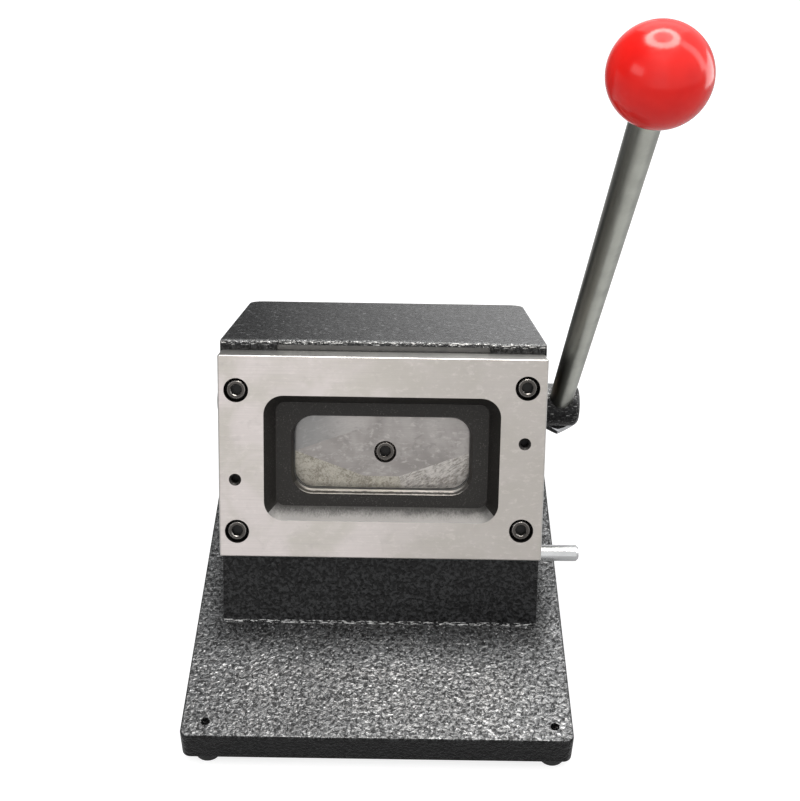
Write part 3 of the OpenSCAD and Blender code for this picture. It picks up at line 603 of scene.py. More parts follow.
def drawn_rod(name, colour, rough, rotation, shaded=False):
    """Drawn bar: faint lines along its length, z after the rotation.

    A shaded rod is painted duller down its two sides, as painted shade and dark painted
    reflections.
    """
    f = Finish(name, colour, rough, 1.0)
    lines = f.noise(1.0, 2.0, 0.6, 0.0, f.stretched((1.8, 1.8, 0.03), rotation))
    cloud = f.noise(14.0, 3.0, 0.6)
    dull = 0.18 * cloud.ramp(0.4, 0.7) + 0.12 * lines
    if shaded:
        # Painted shade: darker down both sides of the rod, most on the left.
        across = f.along("X") - ROD_X + 1.5 * cloud
        dull = dull + across.ramp(-4.5, 0.0, 1.0, 0.0) + 0.55 * across.ramp(2.5, 5.5)
    f.feed("Base Color", f.mix(dull, colour, shade_of(colour, 0.32)))
    f.feed("Roughness", rough - 0.04 + 0.12 * lines)
    f.feed("Normal", f.bump(lines, 0.25, 0.02))
    return f.owner


def polished_plastic(name):
    f = Finish(name, (0.95, 0.014, 0.010), 0.16, Specular_IOR_Level=0.42)
    haze = f.noise(9.0)
    f.feed("Base Color", f.mix(haze.ramp(0.35, 0.7), (0.96, 0.016, 0.011), (0.90, 0.012, 0.009)))
    f.feed("Roughness", 0.14 + 0.06 * haze)
    f.feed("Normal", f.bump(haze, 0.05, 0.05))
    return f.owner


def moulded_rubber(name):
    f = Finish(name, (0.012, 0.012, 0.012), 0.62)
    grain = f.noise(0.5)
    f.feed("Base Color", f.mix(grain.ramp(0.4, 0.7), (0.010, 0.010, 0.010), (0.02, 0.02, 0.02)))
    f.feed("Roughness", 0.55 + 0.15 * grain)
    f.feed("Normal", f.bump(grain, 0.4, 0.05))
    return f.owner


# The base paint carries the painted shade in front of the housing's foot.
BASE_PAINT = hammered_paint("hammered base paint", 1.8, corner=True, glint_size=1.2)
PAINT = hammered_paint("hammered black paint", 1.7, glint_size=2.2)
# Chipped paint on the housing's top front edge, brightened as a painted highlight of that edge.
CHIPPED_AND_LIT_EDGE = hammered_paint("chipped and lit black paint", 0.8, 0.09)
# Painted highlight: bright dashes along the housing's foot, where a seam catches the light.
FOOT_HIGHLIGHT_PAINT = hammered_paint("foot paint with painted highlight", 0.8, 0.12, bright=0.80)
# Painted glints: bright dashes on the hub stand in for its wet glints.
HUB_GLINT_PAINT = hammered_paint("hub paint with painted glints", 0.8, 0.035, glint_size=0.9)
PLATE = ground_steel("ground plate steel", (0.70, 0.645, 0.625), (0.61, 0.575, 0.53),
                     rubbed=0.75)
PLATE_EDGE = ground_steel("plate edge", (0.74, 0.73, 0.71), (0.68, 0.67, 0.64), rough=0.3)
SCALE = dark_scale("black furnace scale")
RUBBED_AND_LIT = rubbed_and_lit_wall("rubbed and lit scale")
LAND = worn_and_lit_land("worn and lit die land")
PUNCH = ground_steel("punch face", (0.43, 0.405, 0.390), (0.31, 0.29, 0.277), rough=0.4,
                     wear=1.0)
PUNCH_SMOOTH = ground_steel("punch facet smooth", (0.33, 0.322, 0.315), (0.28, 0.275, 0.27),
                            (0, 20, 0), wear=0.5, fades_to=(0.43, 0.405, 0.39))
PUNCH_ROUGH = scored_steel("punch facet coarse", (0.27, 0.25, 0.21), (0.52, 0.49, 0.43),
                           (1.0, 1.0, 1.0), (0, 0, 0), 1.1, 0.45)
PUNCH_LINED = scored_steel("punch facet scored", (0.27, 0.25, 0.23), (0.60, 0.57, 0.54),
                           (0.35, 1.0, 1.3), (0, 35, 0), 1.2, 0.38)
MILLED = worn_metal("milled housing iron", (0.13, 0.128, 0.125), 0.42)
BLACK_OXIDE = worn_metal("black oxide", (0.050, 0.047, 0.045), 0.27, size=0.7)
SCREW_FACE = worn_metal("rubbed black oxide", (0.090, 0.083, 0.077), 0.32, size=0.7)
# Painted recess shade: near black for the screws' hex sockets and the dowels' ends.
RECESS_SHADE = worn_metal("painted shade in recesses", (0.012, 0.011, 0.010), 0.5, 0.2, size=0.7)
WORN_OXIDE = worn_metal("worn black oxide", (0.30, 0.285, 0.27), 0.25, size=0.7)
HARD_STEEL = worn_metal("hardened steel", (0.20, 0.20, 0.205), 0.32)
GREY_STEEL = worn_metal("machined steel", (0.34, 0.345, 0.345), 0.36)
ZINC = worn_metal("bright zinc", (0.66, 0.67, 0.69), 0.2, depth=0.01)
BRONZE = worn_metal("oiled dark bronze", (0.20, 0.165, 0.125), 0.42)
ROD = drawn_rod("satin lever rod", (0.66, 0.67, 0.605), 0.28, (LEVER_LEAN, 0, 0), shaded=True)
STOP = drawn_rod("bright stop rod", (0.74, 0.745, 0.75), 0.22, (0, 90, 0))
RED = polished_plastic("polished red plastic")
RUBBER = moulded_rubber("moulded black rubber")

# Pieces that stay as the CAD model has them and take only a finish.
CARRIED = {
    "foot_washers": ZINC, "foot_screws": ZINC, "guide_pillars": ZINC,
    # The dowels' ends, deep in their holes, are painted near black as painted recess shade.
    "housing_screws": BLACK_OXIDE, "rear_cover_screws": BLACK_OXIDE, "die_dowels": RECESS_SHADE,
    "guide_plate": GREY_STEEL, "guide_plate_screws": GREY_STEEL, "pillar_collars": GREY_STEEL,
    "ram_plate": GREY_STEEL, "ram_bush_left": BRONZE, "ram_bush_right": BRONZE,
    "drive_cam": HARD_STEEL, "cam_pin": HARD_STEEL, "follower_pad": HARD_STEEL,
    "punch_dowels": HARD_STEEL, "retaining_ring": HARD_STEEL,
}
for name, finish in CARRIED.items():
    dress(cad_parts[name], finish)


# Base and feet

def make_base():
    base = block("base", (-BASE_W / 2, -BASE_D / 2, 0), (BASE_W / 2, BASE_D / 2, BASE_T))
    round_edges(base, lambda a, b: abs(a.z - b.z) > 1, BASE_R, 8)
    round_edges(base, lambda a, b: abs(a.z - b.z) < 0.01, 1.1, 4, 60)
    for x in FOOT_XS:
        for y in FOOT_YS:
            cut(base, base_drill(FOOT_HOLE_R, x, y, -1, BASE_T + 1, 32))
    screw_x = HOUSING_W / 2 - 6.0
    front_y = FOOT_LINE + 20.0
    rear_y = FOOT_LINE + HOUSING_D / math.cos(math.radians(LEAN)) - 20.6
    for x in (-screw_x, screw_x):
        for y in (front_y, rear_y):
            cut(base, base_drill(SCREW_HOLE_R + FIT, x, y, -1, BASE_T + 1, 32),
                base_drill(SCREW_SINK_R, x, y, -1, 8.0, 48))
    smoothed(base)
    install(base, "frame", "base_plate", BASE_PAINT)


def make_feet():
    recess_r, recess = 4.4, 3.0
    profile = [(FOOT_HOLE_R, FOOT_H), (8.0, FOOT_H), (8.0, FOOT_H - 0.8), (6.7, 1.4)]
    profile += arc(5.7, 0.7, 0.7, 10, -90, 5)
    profile += [(recess_r, 0), (recess_r, recess), (FOOT_HOLE_R, recess), (FOOT_HOLE_R, FOOT_H)]
    foot = smoothed(turned("foot", profile, 48, ring=True))
    feet = copies(foot, [move(x, y, -FOOT_H) for x in FOOT_XS for y in FOOT_YS])
    install(joined("feet", feet), "frame", "rubber_feet", RUBBER)


# Housing

def make_housing():
    low, room_top, foot_strip = -20.0, HOUSING_H - TOP_WALL, 1.5
    half, room, slot = HOUSING_W / 2, HOUSING_W / 2 - SIDE_WALL, SLOT_W / 2
    body = block("housing_shell", (-half, 0, low), (half, HOUSING_D, HOUSING_H))
    round_edges(body, lambda a, b: abs(a.z - b.z) > 1 and a.y > HOUSING_D - 1, REAR_R, 10)
    round_edges(body, lambda a, b: min(a.z, b.z) > HOUSING_H - 0.01 and max(a.y, b.y) < 0.01,
                TOP_R, 6)
    round_edges(body, lambda a, b: min(a.z, b.z) > low + 0.1 or abs(a.z - b.z) > 99, 0.8, 3, 60)
    lip = block("cutter", (-slot, SLOT_GAP - 0.2, HOUSING_H - TOP_R),
                (slot, SLOT_GAP + TOP_R, HOUSING_H + 1))
    cut(lip, cross_drill(TOP_R, SLOT_GAP + TOP_R, HOUSING_H - TOP_R, -half, half))
    cut(body, block("cutter", (-slot, -1, STOP_UP), (slot, SLOT_GAP, HOUSING_H + 1)), lip,
        below_base())
    cut(body, block("cutter", (-room, FRONT_WALL, -40), (room, HOUSING_D - REAR_WALL, room_top)),
        block("cutter", (-58, FRONT_WALL - 0.1, -40), (58, HOUSING_D + 1, room_top)),
        block("cutter", (-COVER_W / 2, HOUSING_D - COVER_SINK - COVER_T, -40),
              (COVER_W / 2, HOUSING_D + 1, HOUSING_H - COVER_DOWN)),
        block("cutter", (-slot, 0, GUIDE_LOW), (slot, SLOT_GAP + GUIDE_T, room_top + FIT)),
        cross_drill(STOP_R + FIT, STOP_Y, STOP_UP, STOP_LEFT - 1, half + 1),
        cross_drill(BUSH_R + FIT, SHAFT_BACK, SHAFT_UP, -half - 1, half + 1))
    way_x, way_up = CARD_W / 2 + PUNCH_ROOM, CARD_H / 2 + PUNCH_ROOM
    way = block("cutter", (-way_x, -1, PUNCH_MID - way_up),
                (way_x, FRONT_WALL + 1, PUNCH_MID + way_up))
    round_edges(way, lambda a, b: abs(a.y - b.y) > 1, CARD_R + PUNCH_ROOM, 8)
    cut(body, way)
    for x in (-PILLAR_X, PILLAR_X):
        cut(body, drill(PILLAR_R + FIT, x, PUNCH_MID, 1.0, FRONT_WALL + 0.5),
            drill(PILLAR_SINK_R, x, PUNCH_MID, 11.0, FRONT_WALL + 1))
    for x, z in DIE_SCREWS:
        cut(body, drill(SCREW_HOLE_R, x, z, -1, 11))
    for x, z in DOWELS:
        cut(body, drill(DOWEL_HOLE_R, x, z, -1, 9))
    smoothed(body)
    open_edit(body)
    bpy.ops.mesh.bisect(plane_co=UPRIGHT * foot_strip * MM, plane_no=UPRIGHT)
    close_edit(body)

    def choose(middle, normal):
        if (abs(middle.x) < slot + 0.2 and STOP_UP - 4 < middle.z < HOUSING_H - TOP_R
                and SLOT_GAP - 0.4 < middle.y < SLOT_GAP + GUIDE_T + 0.2):
            return 1
        if middle.y > 5.0:
            return 0
        # The top front edge: chipped paint brightened as a painted highlight.
        if middle.z > HOUSING_H - 3 and 0.1 < abs(normal.y) < 0.995:
            return 2
        # The strip along the foot takes the painted highlight.
        return 3 if middle.dot(UPRIGHT) < foot_strip and normal.y < -0.1 else 0

    paint_faces(body, (PAINT, MILLED, CHIPPED_AND_LIT_EDGE, FOOT_HIGHLIGHT_PAINT), choose)
    install(placed(body, LEANING), "frame", "housing")


def make_rear_cover():
    back, half = HOUSING_D - COVER_SINK, COVER_W / 2 - FIT
    cover = block("back_cover", (-half, back - COVER_T, 0),
                  (half, back, HOUSING_H - COVER_DOWN - FIT))
    round_edges(cover, lambda a, b: min(a.y, b.y) > back - 0.1, 0.4, 2)
    cut(cover, below_base(0.3))
    for x in (-61.5, 61.5):
        for z in (83.3, 129.5):
            sink = turned("cutter", ((5.05, 1.0), (4.05, 0.0), (2.05, -2.0), (2.05, -8.0)), 40)
            cut(cover, placed(sink, move(x, back, z) @ turn("X", -90)))
    smoothed(cover)
    install(placed(cover, LEANING), "frame", "rear_cover", PAINT)


# Die plate

def rounded_cutter(w, h, r, y):
    """In edit mode, a rounded rectangle in the front plane, as one face that looks back."""
    obj = sheet("cutter", (w * MM, h * MM), (0, y * MM, PUNCH_MID * MM),
                (math.radians(-90), 0, 0))
    open_edit(obj, "VERT")
    bpy.ops.mesh.bevel(offset=r * MM, segments=12, affect="VERTICES", clamp_overlap=False)
    bpy.ops.mesh.select_mode(type="FACE")
    bpy.ops.mesh.select_all(action="SELECT")
    return obj


def close_front(obj, y, reach):
    """Draws the open rim at y out to the front by reach and fills it."""
    bpy.ops.mesh.select_mode(type="EDGE")
    pick_edges(obj, lambda a, b: abs(a.y - y) < 0.01 and abs(b.y - y) < 0.01)
    bpy.ops.mesh.extrude_region_move(TRANSFORM_OT_translate={"value": (0, -reach * MM, 0)})
    bpy.ops.mesh.edge_face_add()
    bpy.ops.mesh.select_all(action="SELECT")
    bpy.ops.mesh.normals_make_consistent(inside=False)
    return close_edit(obj)


def make_pocket_cutter():
    pocket = rounded_cutter(POCKET_W, POCKET_H, POCKET_R, -PLATE_T)
    bpy.ops.mesh.inset(thickness=POCKET_SLOPE * MM, depth=(PLATE_T - LAND_T) * MM)
    return close_front(pocket, -PLATE_T, 1.0)


def make_opening_cutter():
    """It narrows from the pocket's floor to 1 mm from the plate's back."""
    opening = rounded_cutter(CARD_W + 2 * LAND_FLARE, CARD_H + 2 * LAND_FLARE,
                             CARD_R + LAND_FLARE, -LAND_T)
    bpy.ops.mesh.inset(thickness=(LAND_FLARE - FIT) * MM, depth=(LAND_T - 1.0) * MM)
    bpy.ops.mesh.extrude_region_move(TRANSFORM_OT_translate={"value": (0, 2.0 * MM, 0)})
    return close_front(opening, -LAND_T, 1.0)


def make_die_plate():
    half, face_y = PLATE_W / 2, -PLATE_T
    plate = block("die_face_plate", (-half, face_y, PLATE_LOW), (half, 0, PLATE_HIGH))
    round_edges(plate, lambda a, b: abs(a.y - b.y) > 1, 1.0, 3)
    round_edges(plate, lambda a, b: max(a.y, b.y) < face_y + 0.01, 0.8, 3)
    round_edges(plate, lambda a, b: min(a.y, b.y) > -0.01, 0.3, 2, 60)
    cut(plate, make_pocket_cutter(), make_opening_cutter())
    for x, z in DIE_SCREWS:
        cut(plate, drill(SCREW_SINK_R, x, z, face_y - 1, face_y + HEAD_H + HEAD_SINK, 64),
            drill(SCREW_HOLE_R, x, z, face_y, 1))
    for x, z in DOWELS:
        mouth = turned("cutter", ((2.0, -1.0), (4.0, 1.0)), 40)
        cut(plate, drill(DOWEL_HOLE_R, x, z, face_y - 1, 1),
            placed(mouth, move(x, face_y, z) @ TO_FRONT))
    cut(plate, cross_drill(STOP_R + FIT, STOP_Y, STOP_UP, -half - 1, half + 1))
    smoothed(plate)

    def near(middle, places, r):
        return any(math.hypot(middle.x - x, middle.z - z) < r for x, z in places)

    def choose(middle, normal):
        # Painted shade: screw counterbores and dowel holes take the dark scale finish.
        shaded_bore = near(middle, DIE_SCREWS, SCREW_SINK_R + FIT) or near(middle, DOWELS, 2.9)
        if shaded_bore and middle.y > face_y + 0.1:
            return 2
        if (abs(middle.x) < POCKET_W / 2 + 0.25 and abs(middle.z - PUNCH_MID) < POCKET_H / 2
                and middle.y > face_y + 0.25):
            # Pocket faces that look up take the land and lower-wall finishes, painted lighter as
            # lit from above; the other pocket walls keep dark scale.
            if normal.z > 0.5:
                return 4 if middle.y < -LAND_T - 0.3 else 3
            return 2
        return 0 if normal.y < -0.8 else 1

    paint_faces(plate, (PLATE, PLATE_EDGE, SCALE, LAND, RUBBED_AND_LIT), choose)
    install(placed(plate, LEANING), "frame", "die_plate")


# Punch and screws

def make_punch():
    """Its four corner facets and its upper and lower edge are ground back by 5 degrees."""
    half, slope = CARD_W / 2, math.radians(5.0)
    rise, run = CARD_H / 2 - 6.1, half - 8.6
    punch = block("punch_block", (-half, PUNCH_FACE, PUNCH_MID - CARD_H / 2),
                  (half, RAM_FRONT, PUNCH_MID + CARD_H / 2))
    round_edges(punch, lambda a, b: abs(a.y - b.y) > 1, CARD_R, 12)
    for side in (-1, 1):
        for up in (-1, 1):
            outward = Vector((side * rise, 0, up * run)) / math.hypot(rise, run)
            normal = Vector((0, -math.cos(slope), 0)) + outward * math.sin(slope)
            slice_off(punch, (side * half, PUNCH_FACE, PUNCH_MID), normal)
    for up in (-1, 1):
        normal = (0, -math.cos(slope), up * math.sin(slope))
        slice_off(punch, (0, PUNCH_FACE, PUNCH_MID + up * rise), normal)
    round_edges(punch, lambda a, b: max(a.y, b.y) < PUNCH_FACE + 5, 0.2, 2, 60)
    cut(punch, drill(5.5, PUNCH_SCREW_X, PUNCH_MID, PUNCH_FACE - 2,
                     PUNCH_FACE + HEAD_H + HEAD_SINK, 64),
        drill(SCREW_HOLE_R, PUNCH_SCREW_X, PUNCH_MID, PUNCH_FACE, RAM_FRONT + 1))
    smoothed(punch)

    def choose(middle, normal):
        flat = abs(normal.x) < 0.004 and abs(normal.z) < 0.004
        if normal.y > -0.9 or flat:
            return 0
        if middle.x < 0:
            return 1 if middle.z > PUNCH_MID else 2
        return 3 if middle.z < PUNCH_MID else 0

    paint_faces(punch, (PUNCH, PUNCH_SMOOTH, PUNCH_ROUGH, PUNCH_LINED), choose)
    install(placed(punch, LEANING), "ram", "punch")


def socket_screw(length):
    """A socket head screw that points down, its face at z 0."""
    head_r, shank_r, socket_af = 5.0, 2.95, 5.0
    profile = [(shank_r - 0.6, -length), (shank_r, -length + 0.6), (shank_r, -HEAD_H),
               (head_r - 0.15, -HEAD_H), (head_r, -HEAD_H + 0.15), (head_r, -1.0),
               (head_r - 0.25, -0.55), (head_r - 0.8, -0.08), (head_r - 1.0, 0.0)]
    screw = turned("screw", profile)
    corner_r = socket_af / math.cos(math.radians(30)) / 2
    cut(screw, turned("cutter", ((corner_r, -3.0), (corner_r, 1.0)), 6),
        turned("cutter", ((corner_r - 0.3, -0.35), (corner_r + 0.55, 0.5)), 48))
    smoothed(screw)

    def choose(middle, normal):
        out, z = math.hypot(middle.x, middle.y), middle.z
        rim = z > -1.1 and out > head_r - 1.05 and normal.z < 0.985
        mouth = z > -0.5 and out < head_r - 1.3 and 0.1 < normal.z < 0.985
        if rim or mouth:
            return 1
        # Painted recess shade inside the hex socket.
        if out < head_r - 1.8 and -3.1 < z < -0.3:
            return 3
        return 2 if z > -0.1 and normal.z > 0.985 else 0

    return paint_faces(screw, (BLACK_OXIDE, WORN_OXIDE, SCREW_FACE, RECESS_SHADE), choose)


def make_die_screws():
    face_y = HEAD_SINK - PLATE_T
    places = [move(x, face_y, z) @ TO_FRONT @ turn("Z", angle)
              for (x, z), angle in zip(DIE_SCREWS, (12, 41, 27, 5))]
    screws = [placed(s, LEANING) for s in copies(socket_screw(10 - face_y), places)]
    install(joined("plate_screws", screws), "frame", "die_screws")


def make_punch_screw():
    face_y = PUNCH_FACE + HEAD_SINK
    place = LEANING @ move(PUNCH_SCREW_X, face_y, PUNCH_MID) @ TO_FRONT @ turn("Z", 20)
    screw = placed(rename(socket_screw(RAM_REAR - 1 - face_y), "punch_cap_screw"), place)
    install(screw, "ram", "punch_screw")


# Lever

def make_shaft():
    ring_x = -(HOUSING_W / 2 + FLANGE_T + WASHER_T + 2 * WASHER_GAP + RING_T)
    groove_r = SHAFT_R - 1
    profile = [(SHAFT_R - 0.8, SHAFT_LEFT), (SHAFT_R, SHAFT_LEFT + 0.8),
               (SHAFT_R, ring_x - FIT), (groove_r, ring_x - FIT),
               (groove_r, ring_x + RING_T + FIT), (SHAFT_R, ring_x + RING_T + FIT),
               (SHAFT_R, HEAD_X), (HEAD_R - 0.6, HEAD_X), (HEAD_R, HEAD_X + 0.6)]
    profile += arc(HEAD_R - HEAD_DOME, HEAD_X + HEAD_L - HEAD_DOME, HEAD_DOME, 0, 90, 10)
    shaft = placed(turned("shaft_with_head", profile, 96), SHAFT)
    hole = turned("cutter", ((ROD_R + FIT, -14), (ROD_R + FIT, 14)))
    flat = block("cutter", (-13, -13, -SPOT_FACE - 11), (13, 13, -SPOT_FACE))
    cut(shaft, placed(hole, LEVER), placed(flat, LEVER))
    smoothed(shaft)
    paint_faces(shaft, (HUB_GLINT_PAINT, GREY_STEEL),
                lambda middle, normal: 0 if middle.x > HEAD_X - 0.1 else 1)
    install(shaft, "lever", "lever_shaft")


def shaft_pair(name, node, body, profile, sides):
    """The same bronze ring on both ends of the shaft."""
    for side, place in (("_right", SHAFT), ("_left", SHAFT @ turn("X", 180))):
        piece = smoothed(turned(name + side, profile, sides, ring=True))
        install(placed(piece, place), body, node + side, BRONZE)


def make_bushes():
    outer = HOUSING_W / 2
    inner, flange = outer - SIDE_WALL, outer + FLANGE_T
    bore, mouth = SHAFT_R + 0.04, SHAFT_R + 0.04 + 0.4
    shaft_pair("plain_bush", "shaft_bush", "frame",
               [(mouth, inner), (BUSH_R, inner), (BUSH_R, outer), (FLANGE_R, outer),
                (FLANGE_R, flange - 0.4), (FLANGE_R - 0.4, flange), (mouth, flange),
                (bore, flange - 0.4), (bore, inner + 0.4), (mouth, inner)], 96)
    start, bore = flange + WASHER_GAP, SHAFT_R + FIT
    shaft_pair("spacing_washer", "thrust_washer", "lever",
               [(bore, start), (WASHER_R - 0.2, start), (WASHER_R, start + 0.2),
                (WASHER_R, start + WASHER_T - 0.2), (WASHER_R - 0.2, start + WASHER_T),
                (bore, start + WASHER_T), (bore, start)], 64)


def make_lever_rod():
    low, shoulder, end = -SPOT_FACE - NUT_H - 2, LEVER_L - BALL_FLAT, LEVER_L + 4
    rod = turned("lever_bar", [(ROD_R - 1.2, low), (ROD_R, low + 1.2), (ROD_R, shoulder),
                               (ROD_R - 1, shoulder), (ROD_R - 1, end)], 96)
    install(placed(smoothed(rod), LEVER), "lever", "lever_rod", ROD)


def make_lock_nut():
    corner_r = NUT_AF / 2 / math.cos(math.radians(30))
    face_r, wide, hole, mouth = NUT_AF / 2 - 0.2, NUT_AF * 0.62, ROD_R + FIT, ROD_R + 1.3
    nut = turned("hexagon_nut", ((corner_r, 0), (corner_r, NUT_H)), 6)
    round_edges(nut, lambda a, b: abs(a.z - b.z) > 1, 0.3, 2)
    dome = turned("cutter", ((face_r, 0), (wide, 1.4), (wide, NUT_H - 1.4), (face_r, NUT_H)), 96)
    combine(nut, dome, "INTERSECT")
    cut(nut, turned("cutter", ((mouth, -1), (hole, 0.7), (hole, NUT_H - 0.7),
                               (mouth, NUT_H + 1))))
    smoothed(nut)
    place = LEVER @ turn("Z", NUT_TURN - 30) @ move(0, 0, -SPOT_FACE - NUT_H)
    install(placed(nut, place), "lever", "lock_nut", ZINC)


def make_ball():
    bpy.ops.mesh.primitive_uv_sphere_add(segments=96, ring_count=48, radius=BALL_R * MM)
    ball = slice_off(named("red_ball"), (0, 0, -BALL_FLAT), (0, 0, -1))
    hole_r = ROD_R - 1 + FIT
    cut(ball, turned("cutter", ((hole_r, -BALL_R - 1), (hole_r, 5)), 48))
    smoothed(ball)
    install(placed(ball, LEVER @ move(0, 0, LEVER_L)), "lever", "ball_knob", RED)


def make_springs():
    """Coil springs with ground ends between the ram and the housing's front wall, drawn at rest;
    in use the ram squeezes them.
    """
    wire_r, coil_r, turns, pitch = 1.0, 5.5, 5, 3.6
    length = SPRING_REAR - SPRING_FRONT
    bpy.ops.mesh.primitive_circle_add(vertices=12, radius=wire_r * MM,
                                      location=(coil_r * MM, 0, -0.2 * MM),
                                      rotation=(math.radians(90), 0, 0))
    coil = modify(named("return_coil"), "SCREW", steps=40, render_steps=40, iterations=turns,
                  screw_offset=pitch * MM)
    open_edit(coil)
    bpy.ops.mesh.remove_doubles(threshold=SAME_POINT)
    bpy.ops.mesh.fill_holes(sides=0)
    bpy.ops.mesh.normals_make_consistent(inside=False)
    close_edit(coil)
    slice_off(coil, (0, 0, 0), (0, 0, -1))
    slice_off(coil, (0, 0, length), (0, 0, 1))
    smoothed(coil)
    seats = [LEANING @ move(x, SPRING_FRONT, PUNCH_MID) @ turn("X", -90)
             for x in (-PILLAR_X, PILLAR_X)]
    for spring, seat, side in zip(copies(coil, seats), seats, ("left", "right")):
        rename(spring, "return_coil_" + side)
        install(spring, "frame", "return_spring_" + side, GREY_STEEL)
        tuple(seat.translation)
        1.0 - STROKE / length
        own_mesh(spring)


def make_stop_rod():
    rod = turned("stop_bar", [(STOP_R - 0.5, STOP_LEFT), (STOP_R, STOP_LEFT + 0.5),
                              (STOP_R, STOP_RIGHT - 1.2), (STOP_R - 1.2, STOP_RIGHT)])
    placed(rod, LEANING @ move(0, STOP_Y, STOP_UP) @ turn("Y", 90))
    smoothed(rod)
    install(rod, "stop", "stop_rod", STOP)


make_base()
make_feet()
make_housing()
make_rear_cover()
make_die_plate()
make_punch()
make_die_screws()
make_punch_screw()
make_shaft()
make_bushes()
make_lever_rod()
make_lock_nut()
make_ball()
make_springs()
make_stop_rod()


# Studio

EYE, LENS = (6.887, -504.80, 523.86), 59.218
PITCH, YAW, ROLL = 39.14, -0.17, -1.0
BALL_PLACE = (0.09, 0.01, 0.33)


def look_matrix():
    """The camera's matrix, from the pitch, yaw and roll that fit the machine's corners."""
    pitch, yaw, roll = (math.radians(a) for a in (PITCH, YAW, ROLL))
    about = Matrix.Rotation(yaw, 3, "Z")
    ahead = about @ Vector((0, math.cos(pitch), -math.sin(pitch)))
    right = about @ Vector((1, 0, 0))
    down = about @ Vector((0, -math.sin(pitch), -math.cos(pitch)))
    right, down = (math.cos(roll) * right + math.sin(roll) * down,
                   -math.sin(roll) * right + math.cos(roll) * down)
    matrix = Matrix((right, -down, -ahead)).transposed().to_4x4()
    matrix.translation = Vector(EYE) * MM
    return matrix


def add_object(name, data):
    obj = bpy.data.objects.new(name, data)
    bpy.context.scene.collection.objects.link(obj)
    return obj


def facing(at, target):
    """The rotation of a lamp or card at one place that looks at another."""
    return (Vector(target) - Vector(at)).to_track_quat("-Z", "Y").to_euler()


def make_camera():
    data = bpy.data.cameras.new("camera")
    data.lens, data.sensor_width, data.sensor_fit = LENS, 36.0, "AUTO"
    data.clip_start, data.clip_end = 0.01, 50.0
    camera = add_object("camera", data)
    camera.matrix_world = look_matrix()
    bpy.context.scene.camera = camera


def make_lamp(name, at, target, size, power):
    data = bpy.data.lights.new(name, "AREA")
    data.shape, data.size, data.size_y = "RECTANGLE", size[0], size[1]
    data.energy = power
    obj = add_object(name, data)
    obj.location, obj.rotation_euler = at, facing(at, target)


def make_floor():
    """A floor that is lit, glows white to the camera and hardly shows in what shines."""
    bpy.ops.mesh.primitive_plane_add(size=12, location=(0, 0, -FOOT_H * MM - 2e-4))
    floor = named("floor")
    tree = Tree(bpy.data.materials.new("pale floor"))
    lit = tree.node("ShaderNodeBsdfDiffuse", {}, {"Color": (0.45, 0.45, 0.45, 1)})
    glow = tree.glow(0.78 * tree.ray("Is Camera Ray") + 0.08 * tree.ray("Is Glossy Ray"))
    dress(floor, tree.surface(tree.node("ShaderNodeAddShader", {}, {0: lit, 1: glow})))


def make_world():
    """White to the camera and even grey as light; in what shines, dim at the rear left."""
    world = bpy.data.worlds.new("studio")
    bpy.context.scene.world = world
    tree = Tree(world)

    def blend(factor, one, other):
        return tree.node("ShaderNodeMix", {"data_type": "FLOAT"}, {0: factor, 2: one, 3: other})

    way = tree.node("ShaderNodeTexCoord", {}, {}, "Generated")
    across = tree.part(way, "X")
    front = across.ramp(-0.02, 0.24, 1.12, 0.80)
    back = across.ramp(-0.5, 0.4, 0.10, 0.75)
    shine = blend(tree.part(way, "Y").ramp(-0.5, 0.1), front, back)
    shine = shine * across.ramp(-0.95, -0.10, 0.25, 1.0)
    level = blend(tree.ray("Is Glossy Ray"), 0.72, shine)
    shown = blend(tree.ray("Is Camera Ray"), level, 1.0)
    sky = tree.node("ShaderNodeBackground", {}, {"Color": (1, 1, 1, 1), "Strength": shown})
    tree.node("ShaderNodeOutputWorld", {}, {"Surface": sky})


def only_in_shine(obj):
    """The piece lights nothing and is seen only in what shines."""
    for ray in ("camera", "diffuse", "transmission", "shadow", "volume_scatter"):
        setattr(obj, "visible_" + ray, False)


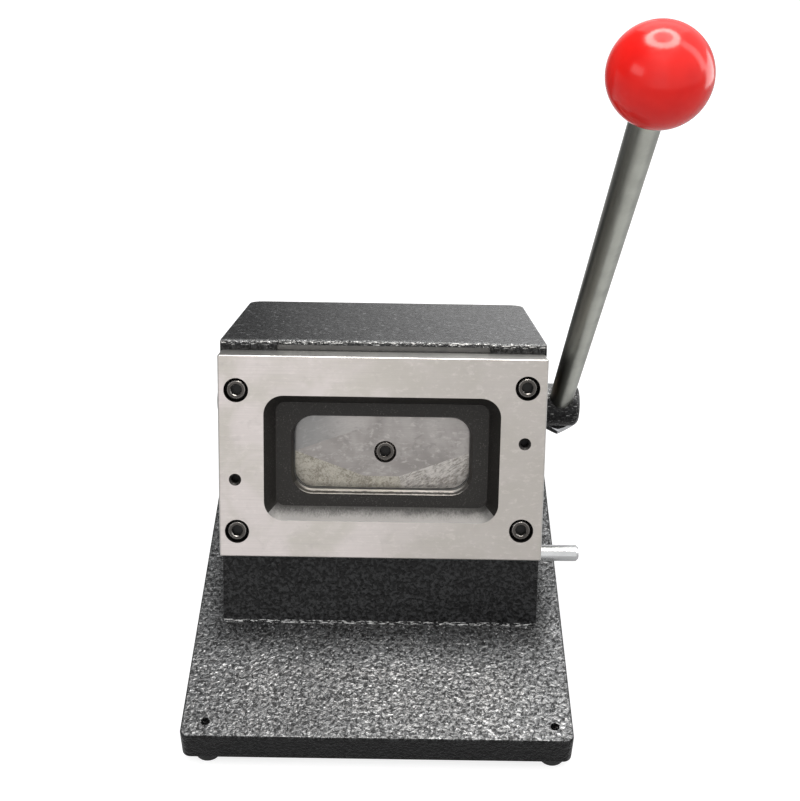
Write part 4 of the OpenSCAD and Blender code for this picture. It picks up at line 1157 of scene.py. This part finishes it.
def ring_lamp(at, outer, inner, strength, colour=(1, 1, 1), shines=False):
    """A flat ring lamp over the machine: it lights the machine, or is only seen in it."""
    bpy.ops.mesh.primitive_circle_add(vertices=48, radius=outer, location=at, fill_type="NGON")
    ring = named("ring_lamp")
    open_edit(ring, "FACE")
    bpy.ops.mesh.inset(thickness=outer - inner)
    bpy.ops.mesh.delete(type="FACE")
    close_edit(ring)
    tree = Tree(bpy.data.materials.new("lamp glow"))
    dress(ring, tree.surface(tree.glow(strength, colour)))
    if shines:
        only_in_shine(ring)
    else:
        ring.visible_camera = ring.visible_glossy = False


def side_screen(xs, y, high, dim, light, dim_until):
    """A screen behind the machine, dim on its left and seen only in what shines."""
    screen = sheet("side_screen", (xs[1] - xs[0], high), (sum(xs) / 2, y, high / 2),
                   (math.radians(90), 0, 0))
    tree = Tree(bpy.data.materials.new("grey cloth"))
    across = tree.part(tree.node("ShaderNodeTexCoord", {}, {}, "Object"), "X")
    level = tree.node("ShaderNodeMapRange", {},
                      {"Value": across, "From Min": dim_until, "From Max": xs[1],
                       "To Min": dim, "To Max": light})
    dress(screen, tree.surface(tree.glow(level)))
    only_in_shine(screen)


def glow_card(name, at, size, strength):
    """A white card that faces the ball and is seen only in what shines."""
    card = sheet(name, size, at, facing(at, BALL_PLACE))
    tree = Tree(bpy.data.materials.new(name))
    dress(card, tree.surface(tree.glow(strength)))
    only_in_shine(card)


make_camera()
make_floor()
make_world()
ring_lamp((0.05, -0.27, 1.21), outer=0.42, inner=0.24, strength=4.4)
ring_lamp((0.090, 0.016, 0.69), outer=0.19, inner=0.105, strength=13.0,
          colour=(1.0, 0.97, 0.92), shines=True)
make_lamp("top lamp", at=(0.05, 0.30, 1.35), target=(0, -0.05, 0.05), size=(1.10, 0.50),
          power=5.0)
side_screen(xs=(-0.60, 0.12), y=0.20, high=0.45, dim=0.10, light=1.0, dim_until=-0.09)
glow_card("right card", (0.96, 0.32, 0.16), (0.62, 0.60), 3.4)
glow_card("rear card", (0.24, 0.98, 1.08), (1.2, 0.75), 1.4)
glow_card("tall card", (0.59, -0.03, 0.66), (0.16, 0.60), 3.6)
glow_card("left card", (-0.66, -0.47, 0.65), (0.46, 0.24), 2.4)
bpy.context.scene.view_settings.view_transform = "Standard"
